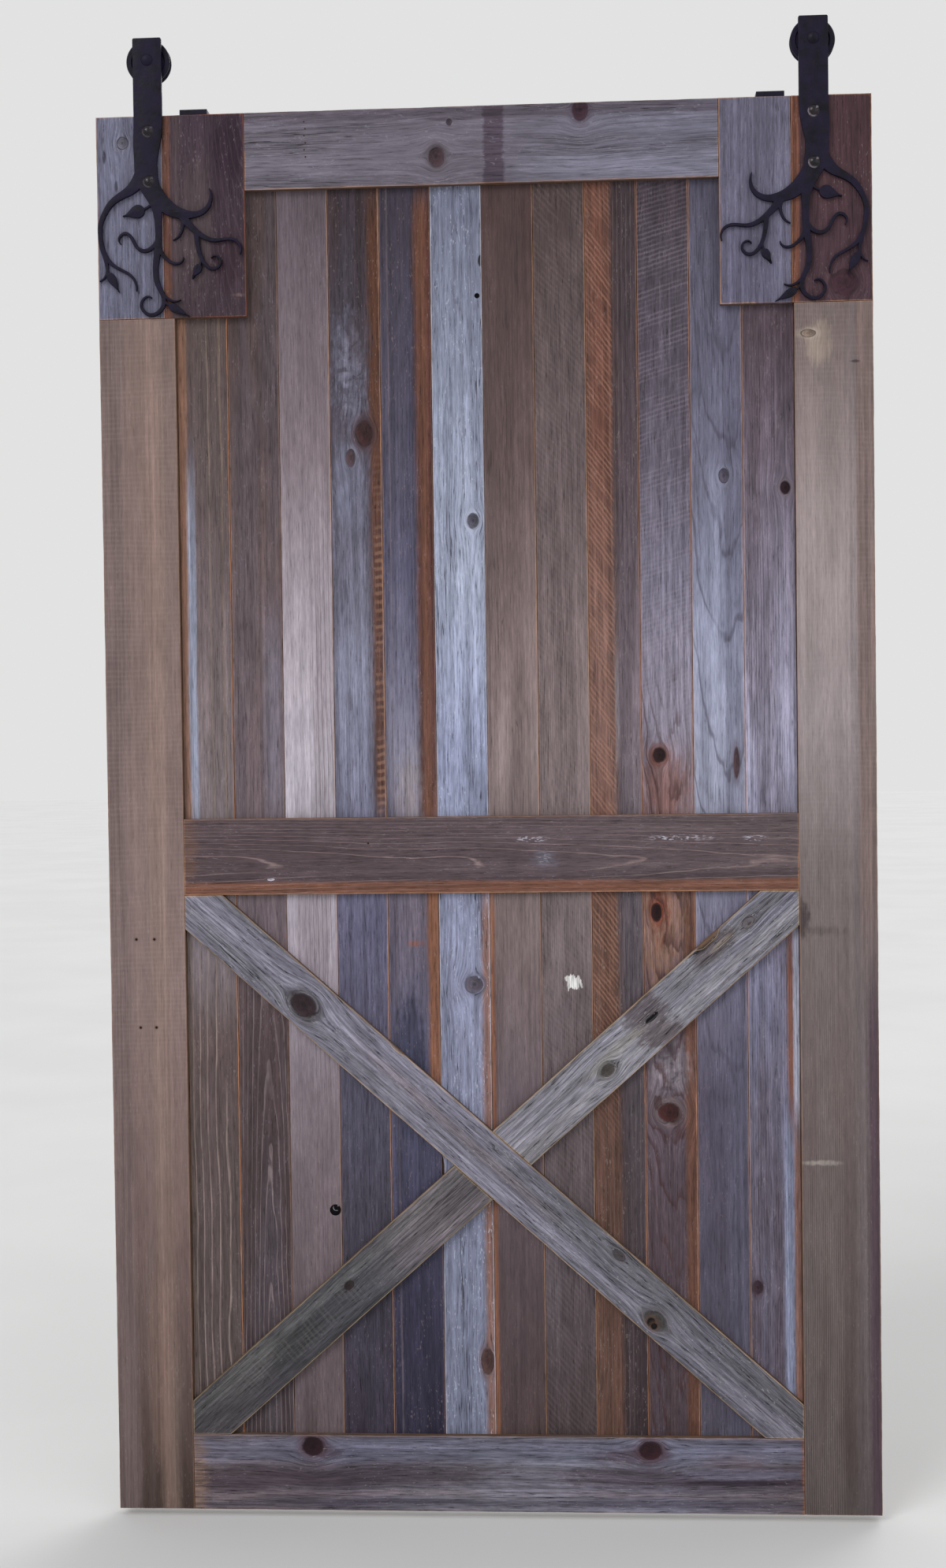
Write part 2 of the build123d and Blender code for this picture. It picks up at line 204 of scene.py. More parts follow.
# A board carries two attributes: grain, where a point lies in the timber (across, in from the face,
# along), and rim, how far it is from the board's edge.
woodDefaults = {
    "slot": "wood_brown",
    "tones": [(0, (110, 95, 85))],  # main colour at distances along the board, mm
    "contrast": 0.24,  # between dark and light streaks
    "grit": 0.9,  # strength of the short dashes
    "fine": 430,  # how many of them go in a metre across
    "pits": 0.25,  # how dark the deepest dashes are
    "tint": ((88, 78, 76), 0.35),  # a second colour in broad streaks, and its amount
    "rings": (5, -260, 60, 0),  # ring width, then where the pith lies: across, behind the face, slope
    "sway": 7,
    "ringLines": ((70, 58, 52), 0.3),  # colour, amount
    "ringFrom": 0.62,  # nearer to the peak the lines are thinner
    "mottle": 0.6,  # contrast of the broad cloudy patches
    "ringSpan": None,  # from, to, softness and so on, as for a strip
    "saw": None,  # angle from square across, spacing, colour, amount, then where, as for a strip
    "strips": [],  # from, to across the board, colour, amount, softness, waver, then from, to and fade along
    "patches": [],  # middle, radii, colour, amount, softness of the edge, raggedness
    "wrinkles": [],  # middle, radii; painted shade in the creases and painted light on the swells, over the bumps
    "knots": [],  # middle, radii, heart colour, halo colour, how strongly the grain bends round it, amount
    "holes": [],  # middle, radius; painted shade inside, as the mesh is not cut there
    "cracks": 0.5,
    "flecks": 0.16,
    "fleckColour": (185, 180, 176),
    "scuffs": [],  # middle, radii, amount
    "rim": (176, 132, 98),
    "edges": (0.2, 0.2),  # how much of the rim colour shows on the left and the right edge
    "side": (104, 80, 62),
    "gloss": 0.64,
}


class Timber:  # the patterns that all the marks on one board share
    def __init__(self, shade, look, seed):
        grain = shade.node("ShaderNodeAttribute", {"attribute_name": "grain"}, out="Vector")
        self.look, self.seed, self.grain = look, seed, grain
        self.across, self.depth, self.along = grain.split()
        self.rim = shade.node("ShaderNodeAttribute", {"attribute_name": "rim"}, out="Fac")
        self.blotches = grain.noise((45, 45, 11), seed + 5.9, 2, 0.6)
        self.waver = grain.noise((6, 6, 5), seed + 0.3, 1) - 0.5
        self.ragged = grain.noise((160, 160, 60), seed + 0.6, 2, 0.6) - 0.5
        self.knots, push = [], 0.0
        for middle, radii, heart, halo, reach, *amount in look["knots"]:
            dx, dz = self.offsets(middle, radii)
            distance = dx.hypot(dz)
            push = push + (self.across - middle[0] * mm) * (reach / (distance * distance + 0.35))
            uneven = distance * (0.72 + self.blotches * 0.56) + self.ragged * 0.3
            # side: where a knot's heart takes painted light and where it takes painted shade
            side = dx * 0.5 - dz * 0.3 + self.ragged * 1.6
            self.knots.append((uneven, side, heart, halo, amount[0] if amount else 1.0))
        self.flow = grain  # the grain, bent round the knots
        if look["knots"]:
            self.flow = shade.node("ShaderNodeCombineXYZ", {}, {0: self.across - push, 1: self.depth, 2: self.along})
        self.streaks = self.flow.noise((170, 170, 1.8), seed + 3.3, 3, 0.65).step(0.3, 0.7)
        self.dashes = self.flow.noise((look["fine"], look["fine"], look["fine"] / 13), seed + 5.2, 4, 0.7)
        self.broad = grain.noise((24, 24, 1.9), seed + 4.1, 1, 0.55)

    def offsets(self, middle, radii):
        return (self.across - middle[0] * mm) / (radii[0] * mm), (self.along - middle[1] * mm) / (radii[1] * mm)

    def distance(self, middle, radii):  # 1 on the ellipse
        dx, dz = self.offsets(middle, radii)
        return dx.hypot(dz)

    def tone(self, colour, spread=0.14):  # one colour with the timber's streaks in it
        return self.streaks.mix(paint(colour, 1 - spread), paint(colour, 1 + spread * 0.8))

    def sawn(self, colour):  # the same for surfaces that lie over the weathered face
        return self.tone(colour).shaded(1 + (self.dashes - 0.5) * 1.5)

    def rings(self):
        width, pithAcross, pithDepth, slope = self.look["rings"]
        drift = (self.grain.noise((5, 5, 1.3), self.seed + 1.1, 1) - 0.5) * (self.look["sway"] * 2 * mm)
        drift = drift + (self.blotches - 0.5) * (self.look["sway"] * 0.7 * mm)
        dx = self.flow.split()[0] - pithAcross * mm + drift
        dy = self.depth + self.along * slope + drift * 1.5 + pithDepth * mm
        cycle = (dx.hypot(dy) / (width * mm) + self.waver).fraction()
        lines = cycle.step(self.look["ringFrom"], woodMarks["ringPeak"]) * cycle.step(1, 0.94)
        return lines * self.broad.step(0.3, 0.5)

    def band(self, start, end, soft, waver=0.0, reach=None):
        place = self.across + self.waver * (waver * mm) + self.ragged * (soft * mm)
        mask = place.step((start - soft) * mm, (start + soft) * mm) * place.step((end + soft) * mm, (end - soft) * mm)
        if reach:
            first, last, fade = [value * mm for value in reach]
            mask = mask * self.along.step(first - fade, first + fade) * self.along.step(last + fade, last - fade)
        return mask


def woodMaterial(name, look, seed, length, thickness):
    material, shade = newMaterial(name)
    timber = Timber(shade, look, seed)
    across, depth, along = timber.across, timber.depth, timber.along

    # Colour along the board, with its streaks, dashes and growth rings
    low, high = length
    contrast = look["contrast"]
    stops = [((stop * mm - low) / (high - low), tone) for stop, tone in look["tones"]]
    place = (along - low) / (high - low)
    dark = place.ramp([(stop, paint(tone, 1 - contrast)) for stop, tone in stops])
    light = place.ramp([(stop, paint(tone, 1 + contrast * 0.8)) for stop, tone in stops])
    colour = timber.streaks.mix(dark, light)
    tone, amount = look["tint"]
    colour = colour.cover(paint(tone), timber.broad.step(0.42, 0.62) * amount)
    for start, end, tone, amount, soft, *bounds in look["strips"]:
        colour = colour.cover(timber.tone(tone), timber.band(start, end, soft, *bounds) * amount)
    for middle, radii, tone, amount, *edge in look["patches"]:
        soft = edge[0] if edge else 0.25
        wild = edge[1] if len(edge) > 1 else soft * 3
        distance = timber.distance(middle, radii) + (timber.ragged + timber.blotches - 0.5) * wild
        colour = colour.cover(timber.tone(tone), distance.step(1 + soft, 1 - soft) * amount)
    for distance, _, _, halo, amount in timber.knots:
        colour = colour.cover(timber.tone(halo), distance.step(2.0, 0.95) * (0.7 * amount))
    rings = timber.rings()
    tone, amount = look["ringLines"]
    shown = rings * amount
    if look["ringSpan"]:
        shown = shown * timber.band(*look["ringSpan"])
    colour = colour.cover(paint(tone), shown)
    pits = timber.dashes.step(0.41, 0.3) * look["pits"]
    colour = colour.shaded((1 + (timber.dashes - 0.5) * (2 * look["grit"]) - pits)
                           * (1 + (timber.blotches - 0.5) * look["mottle"]))
    height = timber.dashes * (0.5 * look["grit"]) + timber.streaks * 0.2

    for middle, radii in look["wrinkles"]:
        inside = (timber.distance(middle, radii) + timber.ragged).step(1.25, 0.8)
        swell = timber.flow.noise((44, 44, 40), seed + 9.1, 3, 0.55, 1.2)
        # painted shade in the creases and painted light on the swells
        shadedCreases = swell.step(0.47, 0.38) * inside
        colour = colour.cover(paint(woodMarks["fold"]), shadedCreases * 0.55)
        colour = colour.shaded(1 + swell.step(0.5, 0.66) * inside * 0.3)
        height = height - shadedCreases * 0.5 + swell * inside * 2
    if look["saw"]:
        angle, spacing, tone, amount, *between = look["saw"]
        cosine, sine = math.cos(math.radians(angle)), math.sin(math.radians(angle))
        cut = along * cosine + across * sine
        turned = shade.node("ShaderNodeCombineXYZ", {}, {0: across * cosine - along * sine, 2: cut})
        lines = (cut / (spacing * mm) + timber.waver * 2 + timber.ragged * 0.5).fraction()
        mark = turned.noise((14, 1, 400 / spacing), seed + 6.7, 2, 0.6).step(0.34, 0.58)
        mark = mark * abs(lines - 0.5).step(0.34, 0.08)
        if between:
            mark = mark * timber.band(*between)
        colour = colour.shaded(1 - (1 - mark) * (amount * 0.35)).cover(paint(tone), mark * amount)
        height = height - mark * (amount * 0.5)
    if look["flecks"]:
        specks = timber.grain.noise((460, 460, 130), seed + 7.4, 1)
        flecks = specks.step(0.64, 0.72) * timber.blotches.step(0.4, 0.6) * look["flecks"]
        for middle, radii, amount in look["scuffs"]:
            distance = timber.distance(middle, radii) + timber.blotches * 0.8
            flecks = flecks + specks.step(0.5, 0.62) * distance.step(1.5, 0.8) * amount
        colour = colour.cover(paint(look["fleckColour"]), flecks)
    if look["cracks"]:
        cracks = abs(timber.flow.noise((150, 150, 3.2), seed + 8.1, 2, 0.55) - 0.5).step(0.014, 0.004)
        cracks = cracks * timber.broad.step(0.5, 0.6) * look["cracks"]
        colour = colour.cover(paint(woodMarks["crack"]), cracks * 0.85)
        height = height - cracks * 0.6

    for distance, side, heart, _, amount in timber.knots:
        circles = (distance * 2.2 + timber.ragged * 2).fraction()
        # painted light and shade: each knot's heart is lighter on one side and darker on the other
        lit = 0.45 - side * 0.6 + circles * 0.3 - distance.step(0.5, 0) * 0.3
        inside = lit.mix(paint(heart, 0.5), paint(heart, 1.2)).shaded(0.7 + timber.dashes * 0.6)
        colour = colour.cover(inside, distance.step(1.08, 0.85) * amount)
        outline = abs(distance - 1).step(0.15, 0.02) * timber.blotches.step(0.35, 0.6)
        colour = colour.cover(paint(woodMarks["knotLine"]), outline * (0.7 * amount))
    # painted shade inside the holes, with a ring of colour round each
    for middle, radius in look["holes"]:
        distance = timber.distance(middle, (radius, radius)) + timber.ragged * 0.5
        colour = colour.cover(paint(woodMarks["holeRim"]), distance.step(2.4, 1.0) * 0.5)
        colour = colour.cover(paint(woodMarks["hole"]), distance.step(1.2, 0.85))

    # Fresh wood on the edges, sawn sides and the planed back
    left, right = look["edges"]
    worn = timber.rim + timber.ragged * (2 * mm)
    fresh = worn.step(2.2 * mm, 1.2 * mm) * (across.step(-2 * mm, 2 * mm) * (right - left) + left)
    colour = colour.cover(timber.sawn(look["rim"]), fresh)
    sawn = timber.sawn(look["side"]).cover(paint(look["side"], 0.6), rings * 0.5)
    colour = colour.cover(sawn, depth.step(2.8 * mm, 4.5 * mm) * timber.rim.step(0.3, 0.6))
    planer = (along + timber.waver * (4 * mm)) / (woodMarks["planerPitch"] * mm)
    planer = abs(planer.fraction() - 0.5).step(0.2, 0.48)
    planed = timber.sawn(look["back"]).cover(paint(look["back"], 0.6), rings * 0.6)
    planed = planed.cover(paint(look["back"], 1.12), planer * 0.14)
    isBack = depth.step(thickness - 0.9 * mm, thickness - 0.3 * mm)
    colour = colour.cover(planed, isBack)
    rough = look["gloss"] + (timber.blotches - 0.5) * 0.22 + isBack * 0.14
    bump = shade.node("ShaderNodeBump", {}, {"Strength": 0.85, "Distance": mm, "Height": height})
    finishMaterial(shade, {"Base Color": colour, "Roughness": rough, "Normal": bump, "Specular IOR Level": 0.16})
    return material


# Shapes of the boards
plankDefaults = {
    "step": (4.5, 6),  # across and along
    "inset": 0.35,  # how deep the worn face lies behind a newly sawn one
    "wear": 0.3,
    "ease": 0.9,  # rounding of the front edges
    "waver": 0.5,  # how far the front edges wander inwards
    "lip": 3.2,  # depth to which most of that wandering goes
    "lap": 5,  # depth from which neighbours touch
    "back": (0.6, 0.15),  # chamfer of the back edges, and how far the back lies in
    "chips": [],  # side (-1 left, 1 right, across), middle along, half length, depth
    "hollows": [],  # middle, radii, depth
}


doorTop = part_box("field_board_01")[1].z / mm


def frontBox(node):  # corners of a node's box seen from the front, in mm
    return [Vector((corner.x, corner.z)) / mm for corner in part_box(node)]


panel = frontBox("brace_long")
slant = math.degrees(math.atan2(panel[1].y - panel[0].y, panel[1].x - panel[0].x))


def startOf(node):  # where the places on a board are counted from, and which way its grain runs,
    # with 0 for down and 90 for to the right
    low, high = frontBox(node)
    if node.startswith("brace_"):
        return (panel[0] + panel[1]) / 2, 90 - slant if node == "brace_long" else 90 + slant
    middle = (low + high) / 2
    return ((0, middle.y), 90) if node.endswith("_rail") else ((middle.x, doorTop), 0)


def around(items):  # each item with the next one, and the last with the first
    return zip(items, items[1:] + items[:1])


def outlineOf(node):  # corners of a CAD board seen from the front, anticlockwise
    points = sorted({(round(v.co.x, 5), round(v.co.z, 5)) for v in frame["nodes"][node].data.vertices})
    corners = [Vector(points[i]) for i in geometry.convex_hull_2d([Vector(point) for point in points])]
    corners = [a for a, b in around(corners) if (a - b).length > 3 * mm]
    if sum(a.cross(b) for a, b in around(corners)) < 0:
        corners.reverse()
    return corners


def bumps(seed, u, v, sizeU, sizeV):  # smooth hills and dips from -1 to 1, of the sizes given
    cells = 64  # after which they repeat
    table = np.random.default_rng(seed).uniform(-1, 1, (cells, cells))
    x, y = u / (sizeU * mm) + 31.7, v / (sizeV * mm) + 417.3
    i, j = np.floor(x).astype(int), np.floor(y).astype(int)
    fx, fy = x - i, y - j
    fx, fy = fx * fx * (3 - 2 * fx), fy * fy * (3 - 2 * fy)
    i, right, j, below = i % cells, (i + 1) % cells, j % cells, (j + 1) % cells
    near, far = [table[i, k] * (1 - fx) + table[right, k] * fx for k in (j, below)]
    return near * (1 - fy) + far * fy


def gridLines(low, high, step, edge):
    inner = np.linspace(low + edge[-1], high - edge[-1], round((high - low) / (step * mm)))
    return np.concatenate([low + edge[:-1], inner, high - edge[:-1][::-1]])


def ellipse(u, v, middle, radii):  # 1 on its line
    return np.hypot((u - middle[0] * mm) / (radii[0] * mm), (v - middle[1] * mm) / (radii[1] * mm))


def loopsOf(edges):  # edges to rings of vertices in order
    left, loops = set(edges), []
    while left:
        edge = min(left, key=lambda e: e.index)
        loop = [edge.verts[0]]
        while edge:
            left.discard(edge)
            loop.append(edge.other_vert(loop[-1]))
            edge = next((e for e in loop[-1].link_edges if e in left), None)
        loops.append(loop[:-1])
    return loops


crispAngle = math.radians(40)  # edges above this angle stay crisp


def addPiece(name, shell, body, material):
    mesh = bpy.data.meshes.new(name)
    bmesh.ops.recalc_face_normals(shell, faces=shell.faces)
    for face in shell.faces:
        face.smooth = True
    shell.to_mesh(mesh)
    shell.free()
    mesh.set_sharp_from_angle(angle=crispAngle)
    mesh.materials.append(material)
    piece = newObject(name, mesh)
    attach(piece, body)
    return piece


def plank(node, look, seed):
    low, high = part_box(node)
    shape, look = {**plankDefaults, **look.get("shape", {})}, {**woodDefaults, **look}
    start, turn = startOf(node)
    turn = math.radians(turn)
    along, across = Vector((math.sin(turn), -math.cos(turn))), Vector((math.cos(turn), math.sin(turn)))
    start = Vector(start) * mm
    corners = [Vector(((c - start).dot(across), (c - start).dot(along))) for c in outlineOf(node)][::-1]
    sides = [(a, Vector((a.y - b.y, b.x - a.x)).normalized()) for a, b in around(corners)]
    ease = shape["ease"] * mm
    insets = np.array([0, 0.3, 0.7, 1.2, 2.4]) * ease

    # A fine sheet, cut to the outline
    spans = [[corner[i] for corner in corners] for i in (0, 1)]
    lines = [gridLines(min(span), max(span), step, insets) for span, step in zip(spans, shape["step"])]
    sheet = bmesh.new()
    rows = [[sheet.verts.new((x, y, 0)) for x in lines[0]] for y in lines[1]]
    for upper, lower in zip(rows, rows[1:]):
        for a, b, c, d in zip(upper, upper[1:], lower[1:], lower):
            sheet.faces.new((a, b, c, d))
    for point, inward in sides:
        for inset in insets if max(abs(inward.x), abs(inward.y)) < 0.9999 else []:
            parts = [*sheet.verts, *sheet.edges, *sheet.faces]
            bmesh.ops.bisect_plane(sheet, geom=parts, dist=1e-7, plane_co=(*(point + inward * inset), 0),
                                   plane_no=(*inward, 0), clear_inner=not inset)

    # Worn face, rounded and wandering edges
    flat = np.array([vert.co[:2] for vert in sheet.verts])
    u, v = flat.T
    gaps = np.maximum([(flat - np.array(point)) @ np.array(inward) for point, inward in sides], 0)
    rim = gaps.min(0)
    moved = flat.copy()
    firstTable = seed * 90  # so that no two boards share their bumps
    for i, (point, inward) in enumerate(sides):
        key = firstTable + i * 2
        shift = shape["waver"] * (0.5 + 0.5 * bumps(key, u, v, 50, 45) + 0.4 * bumps(key + 1, u, v, 20, 9))
        for side, middle, half, deep in shape["chips"]:
            if inward.x * side < -0.9:
                shift = shift + deep * np.exp(-np.abs((v / mm - middle) / half) ** 6)
        shift = np.maximum(shift, 0) * mm
        moved += np.outer(shift * np.clip(1 - gaps[i] / (4 * mm + 3 * shift), 0, 1), inward)
    hills = [bumps(firstTable + k, u, v, *size) for k, size in ((60, (21, 240)), (61, (8, 50)), (62, (50, 400)))]
    depth = shape["inset"] + shape["wear"] * (0.6 * hills[0] + 0.4 * hills[1] + 0.7 * hills[2])
    for middle, radii, *_ in look["knots"]:
        near = ellipse(u, v, middle, radii)
        depth = depth + 0.5 * np.exp(-(((near - 1.05) / 0.3) ** 2)) - 0.3 * np.exp(-((near / 0.7) ** 2))
    for middle, radii, deep in shape["hollows"]:
        near = ellipse(u, v, middle, radii) + 0.25 * bumps(seed, u, v, 6, 12)
        depth = depth + deep * np.clip(1.25 - near, 0, 1) ** 0.7
    corner = np.clip(1 - rim / ease, 0, 1)
    depth = np.maximum(depth, 0) * mm + ease * (1 - np.sqrt(1 - corner * corner))
    grain, edge = sheet.verts.layers.float_vector.new("grain"), sheet.verts.layers.float.new("rim")
    for vert, place, deep, gap in zip(sheet.verts, moved, depth, rim):
        vert.co = (*place, deep)
        vert[edge] = gap

    # Sides, and the back with its small chamfer
    sheet.verts.index_update()
    ring = loopsOf([e for e in sheet.edges if e.is_boundary])[0]
    home = np.array([flat[vert.index] for vert in ring])
    front = np.array([vert.co[:2] for vert in ring])
    centre = np.array([sum(span) / len(span) for span in spans])
    bevel, backIn = shape["back"]
    thickness = high.y - low.y - backIn * mm
    shrunk = home + np.sign(centre - home) * bevel * mm
    levels = [(front * 0.9 + home * 0.1, shape["lip"] * mm), (home, shape["lap"] * mm),
              (home, thickness - bevel * mm), (shrunk, thickness)]
    for places, deep in levels:
        new = [sheet.verts.new((*place, deep)) for place in places]
        for vert in new:
            vert[edge] = 1
        for (a, b), (d, c) in zip(around(ring), around(new)):
            sheet.faces.new((a, b, c, d))
        ring = new
    sheet.faces.new(ring)
    for vert in sheet.verts:
        x, y, deep = vert.co
        vert[grain] = (x, deep, y)
        place = start + across * x + along * y
        vert.co = (place.x, low.y + deep, place.y)
    wood = woodMaterial(node, look, seed, [min(spans[1]), max(spans[1])], thickness)
    piece = addPiece("worn_" + node, sheet, frame["nodes"][node]["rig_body"], wood)
    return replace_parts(piece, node)


print("plank tools ready")


# Looks of the boards. Places on a board are (across, along) in mm: across from its middle line, along from
# the door's top for upright boards, from the door's middle for rails and from the crossing for braces.
looks = {}
smoothBoard = {  # both stiles
    "slot": "wood_tan", "contrast": 0.05, "pits": 0.1, "mottle": 0.4, "cracks": 0.12, "flecks": 0.1, "gloss": 0.66,
}
weatheredBoard = {  # the three braces
    "slot": "wood_silver", "grit": 1.35, "fine": 380, "pits": 0.5, "cracks": 1, "edges": (0.8, 0.8),
}
looks["stile_left"] = {
    **smoothBoard, "grit": 0.38, "tint": ((118, 104, 100), 0.3), "rings": (7, 110, 90, 0),
    "ringLines": ((112, 90, 82), 0.06),
    "tones": [(380, (129, 109, 104)), (1500, (137, 117, 114)), (1900, (120, 100, 97)), (2438, (62, 49, 45))],
    "saw": (1.5, 9, (150, 130, 124), 0.11, -70, 70, 2, 0, (300, 1700, 240)),
    "strips": [(-70, -30, (112, 97, 96), 0.7, 12, 20), (8, 38, (154, 129, 118), 0.4, 10, 12)],
    "patches": [((8, 2180), (20, 175), (126, 102, 93), 0.35, 0.12)],
    "holes": [((-20, 1431), 2.2), ((12, 1431), 2.2), ((-15, 1586), 2.2), ((13, 1586), 2.2)],
}
looks["stile_right"] = {
    **smoothBoard, "grit": 0.42, "tint": ((110, 102, 102), 0.3), "rings": (3.6, -230, 40, 0), "sway": 2,
    "ringLines": ((166, 154, 148), 0.24), "ringSpan": (-66, 4, 6),
    "tones": [(380, (118, 102, 100)), (700, (160, 146, 146)), (1050, (157, 145, 147)), (1300, (120, 109, 109)),
              (1700, (106, 94, 93)), (2438, (68, 57, 56))],
    "saw": (-1.5, 9, (142, 132, 130), 0.1, -70, 70, 2, 0, (300, 1300, 240)),
    "strips": [(26, 70, (112, 104, 108), 0.35, 12, 14), (37, 70, (122, 104, 100), 0.85, 3, 5, (150, 1450, 160)),
               (48, 70, (74, 56, 66), 0.8, 7, 14, (1500, 2500, 120))],
    "patches": [((-62, 1405), (10, 24), (64, 54, 58), 0.8, 0.5), ((-38, 1424), (40, 8), (78, 68, 68), 0.5, 0.6),
                ((-28, 420), (22, 34), (166, 150, 136), 0.5, 0.4), ((-40, 1825), (32, 4), (152, 144, 138), 0.7, 0.5),
                ((36, 452), (9, 2), (60, 50, 54), 0.8, 0.5)],
    "knots": [((-43.6, 403), (13, 7), (128, 112, 102), (166, 152, 140), 0.5)],
}
looks["corner_board_left_outer"] = {
    "slot": "wood_silver", "contrast": 0.14, "grit": 1, "pits": 0.35, "tint": ((88, 88, 106), 0.35),
    "rings": (5, -70, 40, 0.03), "ringLines": ((84, 82, 98), 0.22), "cracks": 0.8, "edges": (0.5, 0.5),
    "tones": [(0, (108, 108, 128)), (350, (104, 104, 124))],
    "patches": [((-44, 70), (3, 12), (46, 44, 58), 0.8, 0.3), ((-24, 120), (2.5, 9), (52, 50, 62), 0.7, 0.3),
                ((20, 30), (2.5, 7), (56, 54, 66), 0.6, 0.3)],
    "knots": [((-11.75, 45.7), (10, 11), (96, 94, 106), (116, 116, 134), 1)],
}
looks["corner_board_left_inner"] = {
    "contrast": 0.14, "grit": 0.7, "tint": ((52, 38, 50), 0.5), "rings": (5, 90, 60, 0.12),
    "ringLines": ((88, 70, 76), 0.3), "edges": (0.3, 0.7), "rim": (124, 74, 58),
    "tones": [(0, (66, 51, 62)), (350, (64, 50, 58))],
    "strips": [(-72, -58, (106, 70, 56), 0.9, 4, 6), (-56, -38, (88, 74, 78), 0.6, 6, 6)],
    "patches": [((46, 60), (26, 60), (46, 30, 44), 0.8, 0.4), ((40, 250), (26, 50), (54, 36, 46), 0.7, 0.4),
                ((58, 312), (9, 3), (116, 92, 90), 0.5, 0.6), ((-14, 190), (26, 120), (82, 71, 72), 0.6, 0.4)],
}
looks["corner_board_right_inner"] = {
    "slot": "wood_silver", "contrast": 0.12, "tint": ((86, 82, 100), 0.4), "rings": (5, -60, 50, 0.03),
    "ringLines": ((82, 78, 94), 0.2), "edges": (0.7, 0.2), "tones": [(0, (104, 101, 120)), (350, (98, 95, 116))],
    "strips": [(-6, 4, (82, 76, 92), 0.4, 6, 16), (30, 60, (116, 114, 134), 0.4, 8, 14)],
}
looks["corner_board_right_outer"] = {
    "contrast": 0.14, "grit": 0.75, "mottle": 0.8, "tint": ((64, 46, 52), 0.35), "rings": (6, 60, 50, 0.05),
    "ringLines": ((50, 32, 40), 0.25), "edges": (0.3, 0.5), "tones": [(0, (76, 52, 56)), (350, (73, 54, 62))],
    "strips": [(-69, -55, (116, 74, 58), 0.9, 3, 5), (-52, -38, (84, 64, 68), 0.4, 6, 8)],
    "knots": [((20, 318), (24, 22), (60, 36, 46), (76, 54, 62), 1, 0.8)],
}
looks["top_rail"] = {
    "slot": "wood_pale", "contrast": 0.08, "grit": 0.75, "fine": 370, "tint": ((97, 92, 101), 0.5),
    "rings": (5.5, 70, 50, 0.03), "ringLines": ((84, 76, 88), 0.45), "cracks": 1, "flecks": 0.3,
    "fleckColour": (156, 156, 170), "edges": (0.5, 0.15),
    "tones": [(-408, (114, 108, 121)), (0, (106, 100, 112)), (408, (112, 111, 128))],
    "strips": [(-67, -24, (130, 129, 146), 0.5, 14, 24, (90, 420, 60)), (46, 67, (84, 74, 86), 0.5, 7, 16)],
    "patches": [((0, 23.5), (900, 17), (68, 55, 68), 0.8, 0.2), ((45, -55), (3, 36), (60, 52, 62), 0.6, 0.4)],
    "knots": [((-18, -75), (17, 13), (66, 50, 56), (88, 78, 84), 1.6),
              ((54, 173), (18, 13), (58, 38, 48), (84, 70, 84), 1.5),
              ((40, -52), (6, 5), (62, 52, 62), (96, 90, 102), 0.6)],
    "holes": [((48 - row * 12, -303 + row % 2 * 2), 1.1) for row in range(6)],
}
looks["middle_rail"] = {
    "contrast": 0.1, "grit": 0.85, "tint": ((72, 60, 64), 0.35), "rings": (4.4, -14, 66, 0.017), "sway": 2.2,
    "ringFrom": 0.86, "ringLines": ((138, 118, 118), 0.75), "cracks": 0.2, "flecks": 0.12,
    "fleckColour": (186, 184, 198), "edges": (0.6, 0.3),
    "tones": [(-533, (84, 70, 74)), (0, (92, 79, 84)), (533, (92, 80, 83))],
    "strips": [(-68, -45, (118, 78, 62), 0.9, 4, 5), (-45, -32, (64, 53, 58), 0.4, 5, 6)],
    "patches": [((-6, 95), (14, 14), (116, 118, 136), 0.4, 1), ((12, -530), (60, 20), (116, 86, 72), 0.5, 0.5)],
    "knots": [((-40, -381), (3, 8), (164, 158, 170), (84, 68, 72), 0.2)], "holes": [((21.6, -209.6), 1.6)],
    "scuffs": [((26, 75), (7, 34), 0.8), ((-6, 95), (12, 14), 0.4), ((26, 330), (7, 80), 0.8),
               ((24, 460), (6, 26), 0.7)],
}
looks["bottom_rail"] = {
    "slot": "wood_silver", "contrast": 0.16, "grit": 1.1, "fine": 360, "pits": 0.4, "mottle": 0.8,
    "tint": ((84, 76, 88), 0.35), "rings": (5.5, 30, 60, 0.03), "ringLines": ((72, 62, 74), 0.35), "cracks": 0.7,
    "flecks": 0.25,
    "tones": [(-533, (113, 102, 105)), (-250, (86, 81, 92)), (0, (119, 117, 127)), (300, (112, 111, 126)),
              (533, (89, 81, 85))],
    "strips": [(-24, 12, (64, 51, 60), 0.7, 12, 34), (-40, -30, (116, 104, 110), 0.5, 5, 24),
               (-56, -46, (68, 62, 76), 0.6, 4, 20), (22, 60, (104, 107, 130), 0.5, 10, 20)],
    "patches": [((4, 430), (10, 110), (122, 120, 140), 0.5, 0.4),
                ((-12, 430), (4.5, 100), (46, 36, 50), 0.7, 0.4, 0.8),
                ((-16, -535), (80, 26), (128, 104, 92), 0.7, 0.4, 0.8),
                ((10, 536), (90, 7), (124, 80, 60), 0.7, 0.4), ((-26, 60), (34, 90), (128, 126, 140), 0.5, 0.4),
                ((26, 420), (14, 60), (104, 76, 72), 0.25, 0.5), ((36, -300), (14, 34), (60, 44, 52), 0.6, 0.5, 1.2),
                ((34, 225), (14, 60), (72, 52, 60), 0.6, 0.5, 1.2)],
    "knots": [((46, -322), (17, 18), (38, 20, 26), (70, 46, 52), 1.8),
              ((44, 268), (16, 20), (46, 26, 32), (76, 50, 54), 1.7)],
}
